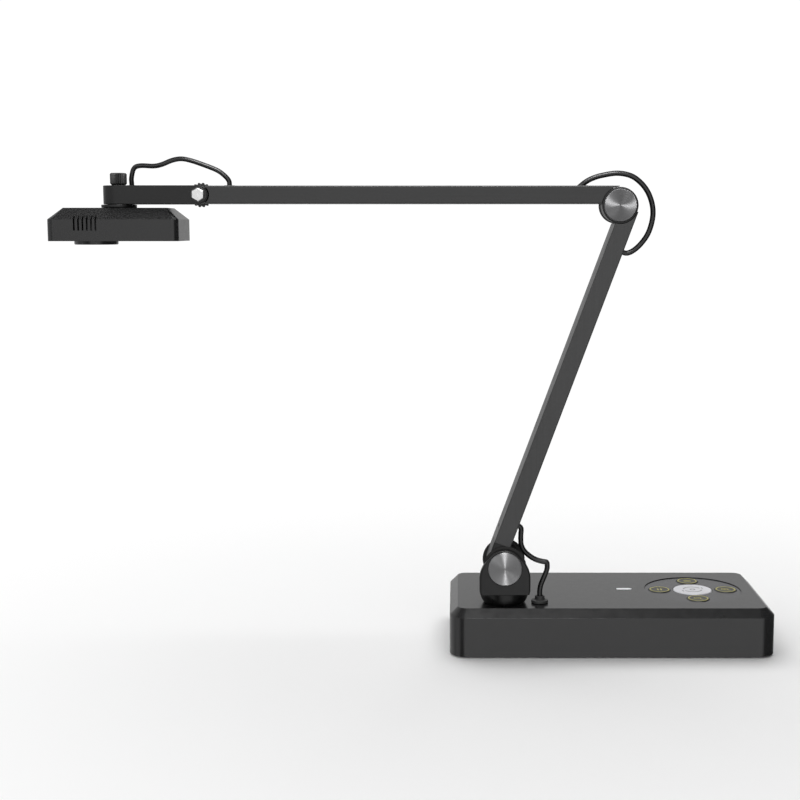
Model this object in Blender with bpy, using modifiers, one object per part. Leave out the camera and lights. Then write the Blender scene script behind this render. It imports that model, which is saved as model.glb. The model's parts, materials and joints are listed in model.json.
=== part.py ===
"""A desktop document camera: a weighted base with a keypad, a folding two-part arm, and a camera head.

Run with blender --background --python part.py. Units are metres, +Z is up and +X runs to the keypad end.
The origin is on the table, under the middle of the base.
"""

import math

import bmesh
import bpy
from mathutils import Matrix, Vector

MM = 0.001
GAP = 0.3 * MM
ROUND = 24
SMALL_ROUND = 12
LARGE_ROUND = 36

# Base
BASE_SIZE = Vector((263, 128.5, 38.3)) * MM
BASE_CORNER = 14 * MM
BASE_CHAMFER = 6.5 * MM
BASE_FLOOR = 1.3 * MM
BASE_TOP = BASE_FLOOR + BASE_SIZE.z
BASE_WALL = 2.6 * MM
PLATE_THICKNESS = 3 * MM
MAT_SIZE = Vector((214, 86, 1)) * MM
SCREW_PLACE = Vector((118.5, 51.5)) * MM
SCREW_RADIUS = 1.6 * MM
SCREW_HEAD_RADIUS = 3.4 * MM
SCREW_SINK = 2 * MM
SCREW_END = 13 * MM
SCREW_SOCKET = 3 * MM
BOSS_RADIUS = 4.6 * MM
BOSS_BORE = 1.9 * MM
PEG_PLACE = Vector((38, 27)) * MM
PEG_RADIUS = 2.6 * MM
BALLAST_SIZE = Vector((170, 92, 11)) * MM
BOARD_SIZE = Vector((92, 66, 1.6)) * MM
BOARD_FLOOR = 22 * MM
CHIP_SIZE = Vector((14, 14, 1.6)) * MM

# Keypad
KEYPAD = Vector((74, 1, 0)) * MM
KEYPAD_RADIUS = 40.2 * MM
KEYPAD_DEPTH = 1.5 * MM
KEY_CIRCLE = 28 * MM
KEY_RADIUS = 9.2 * MM
MIDDLE_KEY_RADIUS = 16.3 * MM
KEY_TRAVEL = 0.6 * MM
KEY_RISE = 0.8 * MM
KEY_STEM = 2.5 * MM
KEYS = {"menu_button": 90, "freeze_button": 180, "zoom_out_button": 270, "zoom_in_button": 0}
STATUS_PLACE = Vector((16, 2, 0)) * MM
STATUS_SIZE = Vector((13, 4, 3.6)) * MM

# Ports, each with its mouth's place on the back wall, and its size
PORT_RIM = 1.2 * MM
PORT_DEPTH = 9 * MM
SOCKET_RADIUS = 2.9 * MM
SOCKET_PIN = 0.9 * MM
PORT_FACE = BASE_SIZE.y / 2 - 0.2 * MM
PORTS = {
    "usb_port": (Vector((20 * MM, PORT_FACE, 17 * MM)), Vector((14, 14, 9)) * MM),
    "hdmi_port": (Vector((50 * MM, PORT_FACE, 16 * MM)), Vector((17, 14, 7)) * MM),
    "power_socket": (Vector((78 * MM, PORT_FACE, 16.5 * MM)), Vector((9, 14, 9)) * MM),
}

# Arm
ARM_Y = -37 * MM
SHOULDER = Vector((-87 * MM, ARM_Y, 71.8 * MM))
LEAN = math.radians(20.2)
LOWER_LENGTH = 302.3 * MM
TUBE_HIGH = 14 * MM
TUBE_DEEP = 30 * MM
TUBE_WALL = 1.6 * MM
TUBE_EDGE = 0.9 * MM
TUBE_OFFSET = 8.2 * MM
PLUG_HIGH = TUBE_HIGH - 2 * TUBE_WALL - 2 * GAP
PLUG_DEEP = TUBE_DEEP - 2 * TUBE_WALL - 2 * GAP
AXLE_RADIUS = 4 * MM
AXLE_BORE = 4.3 * MM
DISC_RADIUS = 12.9 * MM

# Turntable and fork
TURNTABLE_RADIUS = 20.5 * MM
TURNTABLE_HEIGHT = 10.6 * MM
FORK_WIDTH = 41 * MM
FORK_DOME = 15.2 * MM
FORK_BACK_DOME = 9.2 * MM
FORK_BACK_DROP = 9.3 * MM
FORK_SLOT = TUBE_DEEP + 2 * GAP
FORK_SLOT_DEPTH = 16.5 * MM
FORK_RECESS = Vector((13.9, 1.2)) * MM
SHOULDER_DISCS = {"front": 13.4 * MM, "back": 7.6 * MM}
SPINDLE_RADIUS = 6.5 * MM
SPINDLE_END = 30 * MM
BARREL_RADIUS = 12.8 * MM

# Elbow
CHEEK_RADIUS = 14.2 * MM
CHEEK_INNER = 9.5 * MM
CHEEK_OUTER = TUBE_DEEP / 2
TONGUE_RADIUS = 13.5 * MM
TONGUE_HALF = 8 * MM

# Head joint
TILT_X = -327.5 * MM
TILT_SLOT = 7.3 * MM
LUG_RADIUS = 6.8 * MM
WHEEL_RADIUS = 9.7 * MM
WHEEL_THICKNESS = 5 * MM
WHEEL_LOBES = 18
BOLT_RADIUS = 3 * MM
BOLT_BORE = 3.2 * MM
BOLT_FLATS = 9.4 * MM

# Head
HUB_X = -392.8 * MM
BRACKET_HALF_HEIGHT = 7.3 * MM
BRACKET_HALF_DEPTH = 12 * MM
FLANGE_RADIUS = 13.8 * MM
HEAD_SIZE = Vector((102, 52, 26)) * MM
HEAD_FLOOR = 333.2 * MM
HEAD_CORNER = 5 * MM
HEAD_CHAMFER = Vector((10.5, 9)) * MM
HEAD_WALL = 1.8 * MM
HEAD_SPLIT = 3.2 * MM
LENS_OFFSET = -18.9 * MM
LENS_RADIUS = 17 * MM
LENS_DROP = 2.7 * MM
VENT_COUNT = 6
VENT_PITCH = 3.35 * MM
VENT_WIDTH = 1.6 * MM
VENT_SPAN = Vector((8.2, 19.6)) * MM
KNOB_RADIUS = 6.5 * MM
KNOB_HEIGHT = 9.6 * MM
KNOB_RIBS = 22

# Cables, each with the points that its centre line runs through, as (x, z) in the arm's plane
HEAD_CABLE_RADIUS = 1.95 * MM
ARM_CABLE_RADIUS = 2.15 * MM
GROMMET_BORE = 2.5 * MM
GROMMET_FLANGE = 1.1 * MM
GROMMET_DEPTH = 2.6 * MM
CABLE_HOLE = 3.6 * MM
HEAD_CABLE = (
    (-384.0, 378.2), (-383.9, 383), (-381.6, 390.2), (-376.4, 392.4), (-365.2, 392.1), (-358.6, 393.3),
    (-350.4, 396.4), (-343.2, 397.6), (-335.9, 396.4), (-326.4, 393.3), (-314.8, 388.7), (-308.6, 384.2),
    (-305.7, 380.6), (-305.2, 377.8),
)
HEAD_CABLE_BACK = 7.2 * MM
ELBOW_CABLE = (
    (-26.0, 377.8), (-25.0, 379.9), (-20.5, 382.0), (-11.6, 384.6), (0.8, 386.4), (11.9, 384.3),
    (20.2, 378.3), (25.9, 370.3), (29.1, 360.5), (29.2, 350.7), (26.1, 339.7), (20.6, 331.4),
    (14.6, 325.9), (9.6, 323.7), (6.2, 324.3),
)
SHOULDER_CABLE_UPPER = (
    (-75.3, 102.8), (-73.4, 100.6), (-73.6, 95.8), (-73.6, 91.5), (-73.2, 87.0), (-71.0, 82.3), (-66.8, 78.2),
    (-62.0, 75.2), (-57.0, 73.5), (-52.6, 72.6),
)
SHOULDER_CABLE_LOWER = (
    (-52.0, 70.2), (-52.0, 67.4), (-53.2, 63.6), (-55.2, 59.0), (-57.2, 54.0), (-58.0, 49.6), (-58.0, 46.2),
)
CABLE_OUTLET = Vector((-58 * MM, -40 * MM, 0))
COLLAR_HEIGHT = 6 * MM

ELBOW = SHOULDER + Matrix.Rotation(LEAN, 3, "Y") @ Vector((-2 * TUBE_OFFSET, 0, LOWER_LENGTH))
TILT = Vector((TILT_X, ARM_Y, ELBOW.z + TUBE_OFFSET))
HUB = Vector((HUB_X, ARM_Y, TILT.z))
LENS = Vector((HUB.x + LENS_OFFSET, ARM_Y, HEAD_FLOOR))
BRACKET_TOP = TILT.z + BRACKET_HALF_HEIGHT
AT_ORIGIN = Vector((0, 0, 0))


def clear_scene():
    for item in list(bpy.data.objects):
        bpy.data.objects.remove(item, do_unlink=True)


def new_collection(name, hidden):
    made = bpy.data.collections.new(name)
    made.hide_render = hidden
    bpy.context.scene.collection.children.link(made)
    return made


def new_material(name, color, roughness, metallic=0.0):
    made = bpy.data.materials.new(name)
    made.use_nodes = True
    shader = made.node_tree.nodes["Principled BSDF"]
    shader.inputs["Base Color"].default_value = (*color, 1)
    shader.inputs["Roughness"].default_value = roughness
    shader.inputs["Metallic"].default_value = metallic
    return made


def add_object(name, shape, material=None, location=AT_ORIGIN, lean=0.0):
    """An object from a bmesh. With no material it only cuts or joins, and isn't a part itself."""
    mesh = bpy.data.meshes.new(name)
    bmesh.ops.recalc_face_normals(shape, faces=shape.faces)
    shape.to_mesh(mesh)
    shape.free()
    made = bpy.data.objects.new(name, mesh)
    made.location = location
    made.rotation_euler = (0, lean, 0)
    if material is None:
        CUTTERS.objects.link(made)
        made.hide_render = True
        made.display_type = "WIRE"
    else:
        CAMERA.objects.link(made)
        mesh.materials.append(material)
    mesh.shade_smooth()
    mesh.set_sharp_from_angle(angle=math.radians(35))
    return made


def box(size, centre):
    """A box as a bmesh, from its size and its centre."""
    shape = bmesh.new()
    bmesh.ops.create_cube(shape, size=1)
    bmesh.ops.scale(shape, vec=size, verts=shape.verts)
    bmesh.ops.translate(shape, vec=centre, verts=shape.verts)
    return shape


def box_between(low, high):
    low, high = Vector(low), Vector(high)
    return box(high - low, (low + high) / 2)


def edges_along(shape, axis):
    return [e for e in shape.edges if abs((e.verts[0].co - e.verts[1].co).normalized()[axis]) > 0.99]


def round_edges(shape, axis, radius, segments):
    bmesh.ops.bevel(
        shape, geom=edges_along(shape, axis), offset=radius, segments=segments, affect="EDGES", profile=0.5
    )
    return shape


def rounded_box(size, centre, corner, segments=6):
    """A box whose upright edges are rounded."""
    return round_edges(box(size, centre), 2, corner, segments)


def chamfered_box(size, centre, corner, run, rise, segments=6):
    """A box with rounded upright edges, whose top rim slopes in by run over the last rise of its height."""
    lift = Vector((0, 0, rise))
    shape = rounded_box(size - lift, centre - lift / 2, corner, segments)
    face = max(shape.faces, key=lambda f: f.calc_center_median().z)
    raised = bmesh.ops.extrude_discrete_faces(shape, faces=[face])["faces"][0]
    top_corner = max(corner - run, 0.6 * MM)
    for vertex in raised.verts:
        for axis in (0, 1):
            half = size[axis] / 2
            side = math.copysign(1, vertex.co[axis] - centre[axis])
            out = (abs(vertex.co[axis] - centre[axis]) - (half - corner)) / corner
            vertex.co[axis] = centre[axis] + side * (half - run - top_corner + top_corner * out)
        vertex.co.z += rise
    return shape


def cylinder(radius, start, end, axis="Z", segments=ROUND):
    """A cylinder along an axis, whose middle line runs from start to end."""
    start, end = Vector(start), Vector(end)
    quarter = math.pi / 2
    turn = {"X": Matrix.Rotation(quarter, 4, "Y"), "Y": Matrix.Rotation(-quarter, 4, "X"), "Z": Matrix()}
    shape = bmesh.new()
    bmesh.ops.create_cone(
        shape, cap_ends=True, segments=segments, radius1=radius, radius2=radius, depth=(end - start).length,
        matrix=Matrix.Translation((start + end) / 2) @ turn[axis],
    )
    return shape


def pin(radius, low, high, place=AT_ORIGIN, segments=ROUND):
    """A cylinder along Y between two distances from the arm's plane."""
    return cylinder(radius, place + Vector((0, low, 0)), place + Vector((0, high, 0)), "Y", segments)


def post(radius, low, high, place=AT_ORIGIN, segments=ROUND):
    """A cylinder along Z between two heights."""
    return cylinder(radius, (place.x, place.y, low), (place.x, place.y, high), "Z", segments)


def prism(outline, low, high, axis):
    """An outline given as (across, up) points, drawn out along Y or Z between two distances."""
    shape = bmesh.new()
    at = (lambda a, b: (a, low, b)) if axis == "Y" else (lambda a, b: (a, b, low))
    face = shape.faces.new([shape.verts.new(at(a, b)) for a, b in outline])
    drawn = bmesh.ops.extrude_face_region(shape, geom=[face])
    way = Vector((0, high - low, 0)) if axis == "Y" else Vector((0, 0, high - low))
    bmesh.ops.translate(shape, vec=way, verts=[v for v in drawn["geom"] if isinstance(v, bmesh.types.BMVert)])
    return shape


def lobed_outline(radius, depth, lobes, points):
    """Points of a circle whose edge waves in and out by depth, once for each lobe."""
    turns = [2 * math.pi * i / points for i in range(points)]
    return [
        (math.cos(t) * (radius - depth / 2 + depth / 2 * math.cos(lobes * t)),
         math.sin(t) * (radius - depth / 2 + depth / 2 * math.cos(lobes * t)))
        for t in turns
    ]


def boolean(target, operation, shapes):
    """Cuts or joins bmeshes, which are placed in the target's own frame."""
    for number, shape in enumerate(shapes):
        tool = add_object(f"{target.name}.{operation.lower()}.{number}", shape)
        tool.location = target.location
        tool.rotation_euler = target.rotation_euler
        modifier = target.modifiers.new(f"{operation} {number}", "BOOLEAN")
        modifier.operation = operation
        modifier.solver = "EXACT"
        modifier.object = tool
    return target


def cut(target, *shapes):
    return boolean(target, "DIFFERENCE", shapes)


def join(target, *shapes):
    return boolean(target, "UNION", shapes)


def soften(target, width, segments=2, angle=40):
    """Rounds the edges of a piece before any Boolean that follows."""
    modifier = target.modifiers.new("Softened edges", "BEVEL")
    modifier.width = width
    modifier.segments = segments
    modifier.limit_method = "ANGLE"
    modifier.angle_limit = math.radians(angle)
    return target


def turned(name, profile, material, location, steps=ROUND):
    """A turned piece from its closed (radius, height) profile, which runs down its outer side."""
    shape = bmesh.new()
    corners = [shape.verts.new((radius, 0, height)) for radius, height in profile]
    for here, after in zip(corners, corners[1:] + corners[:1]):
        shape.edges.new((here, after))
    made = add_object(name, shape, material, location)
    modifier = made.modifiers.new("Turn", "SCREW")
    modifier.steps = steps
    modifier.render_steps = steps
    modifier.use_merge_vertices = True
    modifier.merge_threshold = 0.00001
    return made


def smooth_route(points, spacing):
    """Points along one smooth curve through the given ones, about spacing apart."""
    ends = [2 * points[0] - points[1], *points, 2 * points[-1] - points[-2]]
    fine = []
    for before, here, after, last in zip(ends, ends[1:], ends[2:], ends[3:]):
        for step in range(12):
            t = step / 12
            fine.append(0.5 * (
                2 * here + (after - before) * t + (2 * before - 5 * here + 4 * after - last) * t ** 2
                + (3 * here - before - 3 * after + last) * t ** 3
            ))
    fine.append(points[-1])
    total = sum((b - a).length for a, b in zip(fine, fine[1:]))
    count = max(4, round(total / spacing))
    route, walked, target = [fine[0]], 0.0, total / count
    for here, after in zip(fine, fine[1:]):
        walked += (after - here).length
        if walked >= target - 1e-9 and len(route) < count:
            route.append(after)
            target += total / count
    route.append(fine[-1])
    return route


def cable(name, points, radius, material, back=0.0):
    """A cable on its route. back moves its first end away from the arm's plane, fading out on the way."""
    route = []
    for number, (x, z) in enumerate(points):
        fade = max(0.0, 1 - number / (len(points) * 0.6))
        route.append(Vector((x * MM, ARM_Y + back * fade * fade * (3 - 2 * fade), z * MM)))
    curve = bpy.data.curves.new(name, "CURVE")
    curve.dimensions = "3D"
    curve.bevel_depth = radius
    curve.bevel_resolution = 2
    curve.use_fill_caps = True
    line = curve.splines.new("POLY")
    route = smooth_route(route, 2 * radius)
    line.points.add(len(route) - 1)
    for point, place in zip(line.points, route):
        point.co = (*place, 1)
    made = bpy.data.objects.new(name, curve)
    curve.materials.append(material)
    CAMERA.objects.link(made)
    return made


def four_corners(centre, reach):
    return [centre + Vector((x * reach.x, y * reach.y, 0)) for x in (-1, 1) for y in (-1, 1)]


def shell_posts():
    """The screw bosses and board pegs that hang from the inside of the base's top."""
    inside = BASE_TOP - BASE_WALL + GAP
    corners = four_corners(AT_ORIGIN, SCREW_PLACE)
    pegs = four_corners(KEYPAD, PEG_PLACE)
    plate_top = BASE_FLOOR + PLATE_THICKNESS + GAP
    board_top = BOARD_FLOOR + BOARD_SIZE.z + GAP
    bosses = [post(BOSS_RADIUS, plate_top, inside, place, SMALL_ROUND) for place in corners]
    bosses += [post(PEG_RADIUS, board_top, inside, place, SMALL_ROUND) for place in pegs]
    bores = [post(BOSS_BORE, BASE_FLOOR, SCREW_END + 2 * MM, place, SMALL_ROUND) for place in corners]
    return bosses, bores


def make_base_shell():
    middle = Vector((0, 0, BASE_FLOOR + BASE_SIZE.z / 2))
    shell = add_object(
        "base_shell",
        chamfered_box(BASE_SIZE, middle, BASE_CORNER, BASE_CHAMFER, BASE_CHAMFER),
        BLACK_GLOSS,
    )
    wall = Vector((BASE_WALL, BASE_WALL, 0))
    hollow_size = BASE_SIZE - 2 * wall
    hollow_middle = middle - Vector((0, 0, BASE_WALL))
    hollow = chamfered_box(hollow_size, hollow_middle, BASE_CORNER - BASE_WALL, BASE_CHAMFER, BASE_CHAMFER)
    bosses, bores = shell_posts()
    cut(shell, hollow)
    join(shell, *bosses)
    cut(shell, *bores)
    recess = post(KEYPAD_RADIUS + GAP, BASE_TOP - KEYPAD_DEPTH, BASE_TOP + MM, KEYPAD, LARGE_ROUND)
    stems = [post(KEY_STEM + GAP, BASE_TOP - 8 * MM, BASE_TOP, place, SMALL_ROUND) for place in key_places()]
    spindle = post(SPINDLE_RADIUS + 0.5 * MM, BASE_TOP - 8 * MM, BASE_TOP + MM, SHOULDER)
    outlet = post(CABLE_HOLE + GAP, BASE_TOP - 8 * MM, BASE_TOP + MM, CABLE_OUTLET, SMALL_ROUND)
    cut(shell, recess, *stems, spindle, outlet, status_window(GAP, BASE_TOP - 8 * MM, BASE_TOP + MM))
    for place, size in PORTS.values():
        hole = Vector((size.x + 2 * GAP, 12 * MM, size.z + 2 * GAP))
        cut(shell, box(hole, place - Vector((0, 2 * MM, 0))))
    return shell


def make_base_underside():
    middle = Vector((0, 0, BASE_FLOOR + PLATE_THICKNESS / 2))
    size = Vector((BASE_SIZE.x, BASE_SIZE.y, PLATE_THICKNESS)) - Vector((1, 1, 0)) * 2 * (BASE_WALL + GAP)
    plate = add_object("base_plate", rounded_box(size, middle, BASE_CORNER - BASE_WALL, 6), PLATE_STEEL)
    seat = BASE_FLOOR + SCREW_SINK
    for number, place in enumerate(four_corners(AT_ORIGIN, SCREW_PLACE), 1):
        cut(
            plate,
            post(SCREW_HEAD_RADIUS + GAP, 0, seat, place, SMALL_ROUND),
            post(SCREW_RADIUS + GAP, 0, SCREW_END, place, SMALL_ROUND),
        )
        head = post(SCREW_HEAD_RADIUS, BASE_FLOOR + GAP, seat - GAP, segments=SMALL_ROUND)
        screw = add_object(f"plate_screw_{number}", head, SCREW_STEEL, place)
        join(screw, post(SCREW_RADIUS, seat - 0.5 * MM, SCREW_END, segments=SMALL_ROUND))
        cut(screw, prism(hexagon(SCREW_SOCKET), BASE_FLOOR, BASE_FLOOR + MM, "Z"))
    mat_middle = Vector((0, 0, MAT_SIZE.z / 2))
    add_object("anti_slip_mat", rounded_box(MAT_SIZE, mat_middle, 8 * MM), RUBBER)


def make_base_inside():
    floor = BASE_FLOOR + PLATE_THICKNESS + GAP
    ballast = rounded_box(BALLAST_SIZE, Vector((6 * MM, -4 * MM, floor + BALLAST_SIZE.z / 2)), 6 * MM, 4)
    add_object("ballast_plate", ballast, CAST_IRON)
    board_middle = KEYPAD + Vector((0, 0, BOARD_FLOOR + BOARD_SIZE.z / 2))
    board = add_object("main_board", rounded_box(BOARD_SIZE, board_middle, 3 * MM, 3), BOARD_GREEN)
    chip = box(CHIP_SIZE, board_middle + Vector((-20 * MM, 10 * MM, -1.4 * MM)))
    join(board, chip)
    inner, outer = SPINDLE_RADIUS + GAP, SPINDLE_RADIUS + 5 * MM
    low = SPINDLE_END + MM
    high = BASE_TOP - BASE_WALL - 2 * GAP
    ring = [(outer, high), (outer, low), (inner, low), (inner, high)]
    turned("swivel_retainer", ring, BRASS, Vector((SHOULDER.x, SHOULDER.y, 0)))


def make_ports():
    for name, (place, size) in PORTS.items():
        port = add_object(name, box(size, place + Vector((0, -size.y / 2, 0))), PORT_METAL)
        mouth = Vector((size.x - 2 * PORT_RIM, PORT_DEPTH, size.z - 2 * PORT_RIM))
        if name == "power_socket":
            cut(port, pin(SOCKET_RADIUS, -PORT_DEPTH, MM, place, SMALL_ROUND))
            join(port, pin(SOCKET_PIN, -PORT_DEPTH - 2 * MM, -MM, place, SMALL_ROUND))
        else:
            cut(port, box(mouth, place + Vector((0, 0.5 * MM - mouth.y / 2, 0))))
            tongue = Vector((mouth.x - 4.4 * MM, mouth.y - 0.5 * MM, 2.4 * MM))
            join(port, box(tongue, place + Vector((0, -1.5 * MM - tongue.y / 2, 0.6 * MM))))


def hexagon(flats, place=AT_ORIGIN, turn=0.0):
    """The six corners of a hexagon across Z, from its width across flats."""
    radius = flats / math.sqrt(3)
    turns = [turn + i * math.pi / 3 for i in range(6)]
    return [(place.x + radius * math.cos(t), place.y + radius * math.sin(t)) for t in turns]


def key_places():
    """The middle key's place, then the small keys' places in their order."""
    small = [
        KEYPAD + KEY_CIRCLE * Vector((math.cos(math.radians(a)), math.sin(math.radians(a)), 0))
        for a in KEYS.values()
    ]
    return [KEYPAD, *small]


def status_window(grow, low, high):
    """The slot shape of the status lamp's window, which lies beside the keypad."""
    middle = STATUS_PLACE + Vector((0, 0, (low + high) / 2))
    size = Vector((STATUS_SIZE.x + 2 * grow, STATUS_SIZE.y + 2 * grow, high - low))
    return rounded_box(size, middle, 0.49 * STATUS_SIZE.y + grow, 4)


def make_keypad():
    floor = BASE_TOP - KEYPAD_DEPTH + GAP
    disc = post(KEYPAD_RADIUS, floor, BASE_TOP + GAP, KEYPAD, LARGE_ROUND)
    panel = add_object("control_panel", disc, PANEL_BLACK)
    soften(panel, 0.3 * MM, 1)
    names = ["centre_button", *KEYS]
    for name, place in zip(names, key_places()):
        radius = MIDDLE_KEY_RADIUS if name == "centre_button" else KEY_RADIUS
        cut(panel, post(radius + GAP, floor - MM, BASE_TOP + 2 * MM, place))
        low = floor + KEY_TRAVEL
        material = BUTTON_SILVER if name == "centre_button" else PANEL_BLACK
        key = add_object(name, post(radius, low, BASE_TOP + KEY_RISE), material, place)
        soften(key, 0.35 * MM, 2)
        stem_end = BOARD_FLOOR + BOARD_SIZE.z + KEY_TRAVEL + GAP
        join(key, post(KEY_STEM, stem_end, low + GAP, segments=SMALL_ROUND))
    top = BASE_TOP + 0.2 * MM
    add_object("status_lens", status_window(0, top - STATUS_SIZE.z, top), LENS_WHITE)


def grommet(name, place, lean):
    """A flanged sleeve that lines a cable's hole. Its outer face looks along its own +Z."""
    neck = CABLE_HOLE - GAP
    profile = [
        (neck + 0.4 * MM, GROMMET_FLANGE), (neck + MM, GROMMET_FLANGE - 0.5 * MM), (neck + MM, GAP),
        (neck, GAP),
        (neck, -GROMMET_DEPTH), (GROMMET_BORE, -GROMMET_DEPTH), (GROMMET_BORE, GROMMET_FLANGE),
    ]
    made = turned(name, profile, RUBBER, place, SMALL_ROUND)
    made.rotation_euler = (0, lean, 0)
    return made


def make_cable_outlet():
    """The flanged sleeve, with a tall collar, that the cable comes out of the base through."""
    foot = -BASE_WALL - 1.6 * MM
    profile = [
        (3.8 * MM, COLLAR_HEIGHT), (4 * MM, 2.6 * MM), (6.8 * MM, 2.3 * MM), (7 * MM, GAP), (CABLE_HOLE, GAP),
        (CABLE_HOLE, foot), (GROMMET_BORE, foot), (GROMMET_BORE, COLLAR_HEIGHT),
    ]
    turned("cable_outlet", profile, RUBBER, CABLE_OUTLET + Vector((0, 0, BASE_TOP)), ROUND)


def fork_outline(half, low, dome, drop):
    """A cheek seen from the front: straight sides to drop below the axle, then slopes into a round top."""
    touch = math.acos(dome / half)
    steps = 16
    turns = [touch + (math.pi - 2 * touch) * i / steps for i in range(steps + 1)]
    top = [(dome * math.cos(t), dome * math.sin(t)) for t in turns]
    return [(-half, low), (half, low), (half, -drop), *top, (-half, -drop)]


def make_turret():
    half = FORK_WIDTH / 2
    foot = BASE_TOP + GAP - SHOULDER.z
    low = foot + TURNTABLE_HEIGHT
    front = prism(fork_outline(half, low, FORK_DOME, 0), -half, -FORK_SLOT / 4, "Y")
    fork = add_object("turntable_fork", front, BLACK_SATIN, SHOULDER)
    soften(fork, 1.6 * MM, 3, 50)
    back_outline = fork_outline(half - GAP, low + GAP, FORK_BACK_DOME, FORK_BACK_DROP)
    join(
        fork,
        prism(back_outline, -FORK_SLOT / 3, half, "Y"),
        post(TURNTABLE_RADIUS, foot, foot + TURNTABLE_HEIGHT + 0.4 * MM, segments=LARGE_ROUND),
        post(SPINDLE_RADIUS, SPINDLE_END - SHOULDER.z, foot + MM),
    )
    slot = box_between((-40 * MM, -FORK_SLOT / 2, -FORK_SLOT_DEPTH), (40 * MM, FORK_SLOT / 2, 40 * MM))
    floor = half - FORK_RECESS.y
    recess = pin(FORK_RECESS.x, -floor, -half - 4 * MM, segments=LARGE_ROUND)
    cut(fork, slot, recess, pin(AXLE_BORE, -30 * MM, 30 * MM))
    axle = add_object("shoulder_axle", pin(AXLE_RADIUS, -floor, half), SCREW_STEEL, SHOULDER)
    soften(axle, 0.4 * MM, 1)
    make_disc("shoulder_disc_front", SHOULDER, -1, floor + GAP, SHOULDER_DISCS["front"])
    make_disc("shoulder_disc_back", SHOULDER, 1, half + GAP, SHOULDER_DISCS["back"])


def make_disc(name, centre, way, inner, radius):
    """The brushed cap over one end of a joint's axle."""
    cap = pin(radius, way * inner, way * (inner + 1.9 * MM), segments=LARGE_ROUND)
    soften(add_object(name, cap, BRUSHED_STEEL, centre), 0.4 * MM, 1)


def tube_shape(start, end):
    """A rectangular arm tube along its own Z, with rounded long edges, whose axles' plane is beside it."""
    size = Vector((TUBE_HIGH, TUBE_DEEP, end - start))
    shape = box(size, Vector((0, 0, (start + end) / 2)))
    return round_edges(shape, 2, TUBE_EDGE, 3)


def tube_hollow(start, end):
    size = Vector((TUBE_HIGH - 2 * TUBE_WALL, TUBE_DEEP - 2 * TUBE_WALL, end - start + 20 * MM))
    return box(size, Vector((0, 0, (start + end) / 2)))


def plug_shape(start, end):
    return box_between((-PLUG_HIGH / 2, -PLUG_DEEP / 2, start), (PLUG_HIGH / 2, PLUG_DEEP / 2, end))


def shifted(shape, x=0.0, z=0.0, turn=0.0):
    """A shape turned about Y, then moved."""
    bmesh.ops.rotate(shape, cent=AT_ORIGIN, matrix=Matrix.Rotation(turn, 3, "Y"), verts=shape.verts)
    bmesh.ops.translate(shape, vec=(x, 0, z), verts=shape.verts)
    return shape


def cable_place(x, z):
    return Vector((x * MM, ARM_Y, z * MM))


def in_lower_arm(point):
    """A world point in the lower arm's own frame: its origin on the shoulder axle, its Z along the tube."""
    return Matrix.Rotation(-LEAN, 3, "Y") @ (point - SHOULDER)


def make_lower_arm():
    frame = {"location": SHOULDER, "lean": LEAN}
    elbow = Vector((-2 * TUBE_OFFSET, 0, LOWER_LENGTH))
    start, end = 16.6 * MM, LOWER_LENGTH
    face = -TUBE_OFFSET + TUBE_HIGH / 2
    tube = add_object("lower_arm_tube", shifted(tube_shape(start, end), -TUBE_OFFSET), BLACK_SATIN, **frame)
    cut(tube, shifted(tube_hollow(start, end), -TUBE_OFFSET))
    cut(tube, pin(CHEEK_RADIUS + GAP, -20 * MM, 20 * MM, elbow, LARGE_ROUND))
    heights = {"lower_arm_grommet_bottom": SHOULDER_CABLE_UPPER[0], "lower_arm_grommet_top": ELBOW_CABLE[-1]}
    for name, exit_point in heights.items():
        height = in_lower_arm(cable_place(*exit_point)).z
        hole = cylinder(CABLE_HOLE, (face - 5 * MM, 0, height), (face + 5 * MM, 0, height), "X", SMALL_ROUND)
        cut(tube, hole)
        place = SHOULDER + Matrix.Rotation(LEAN, 3, "Y") @ Vector((face, 0, height))
        grommet(name, place, LEAN + math.pi / 2)
    deep = TUBE_DEEP / 2 - 0.4 * MM
    foot = add_object("shoulder_knuckle", pin(BARREL_RADIUS, -deep, deep), BLACK_SATIN, **frame)
    neck = box_between((-TUBE_HIGH / 2, -deep, 0), (TUBE_HIGH / 2, deep, start - GAP))
    neck = shifted(round_edges(neck, 2, TUBE_EDGE, 3), -TUBE_OFFSET)
    join(foot, neck, shifted(plug_shape(5 * MM, 26 * MM), -TUBE_OFFSET))
    cut(foot, pin(AXLE_BORE, -30 * MM, 30 * MM))
    plug = shifted(plug_shape(LOWER_LENGTH - 27 * MM, LOWER_LENGTH - 7 * MM), -TUBE_OFFSET)
    tongue = add_object("elbow_tongue", plug, BLACK_SATIN, **frame)
    for side in (-1, 1):
        cut(tongue, pin(CHEEK_RADIUS + 0.4 * MM, side * TONGUE_HALF, side * 20 * MM, elbow, LARGE_ROUND))
    join(tongue, pin(TONGUE_RADIUS, -TONGUE_HALF, TONGUE_HALF, elbow))
    cut(tongue, pin(AXLE_BORE, -30 * MM, 30 * MM, elbow))


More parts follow.
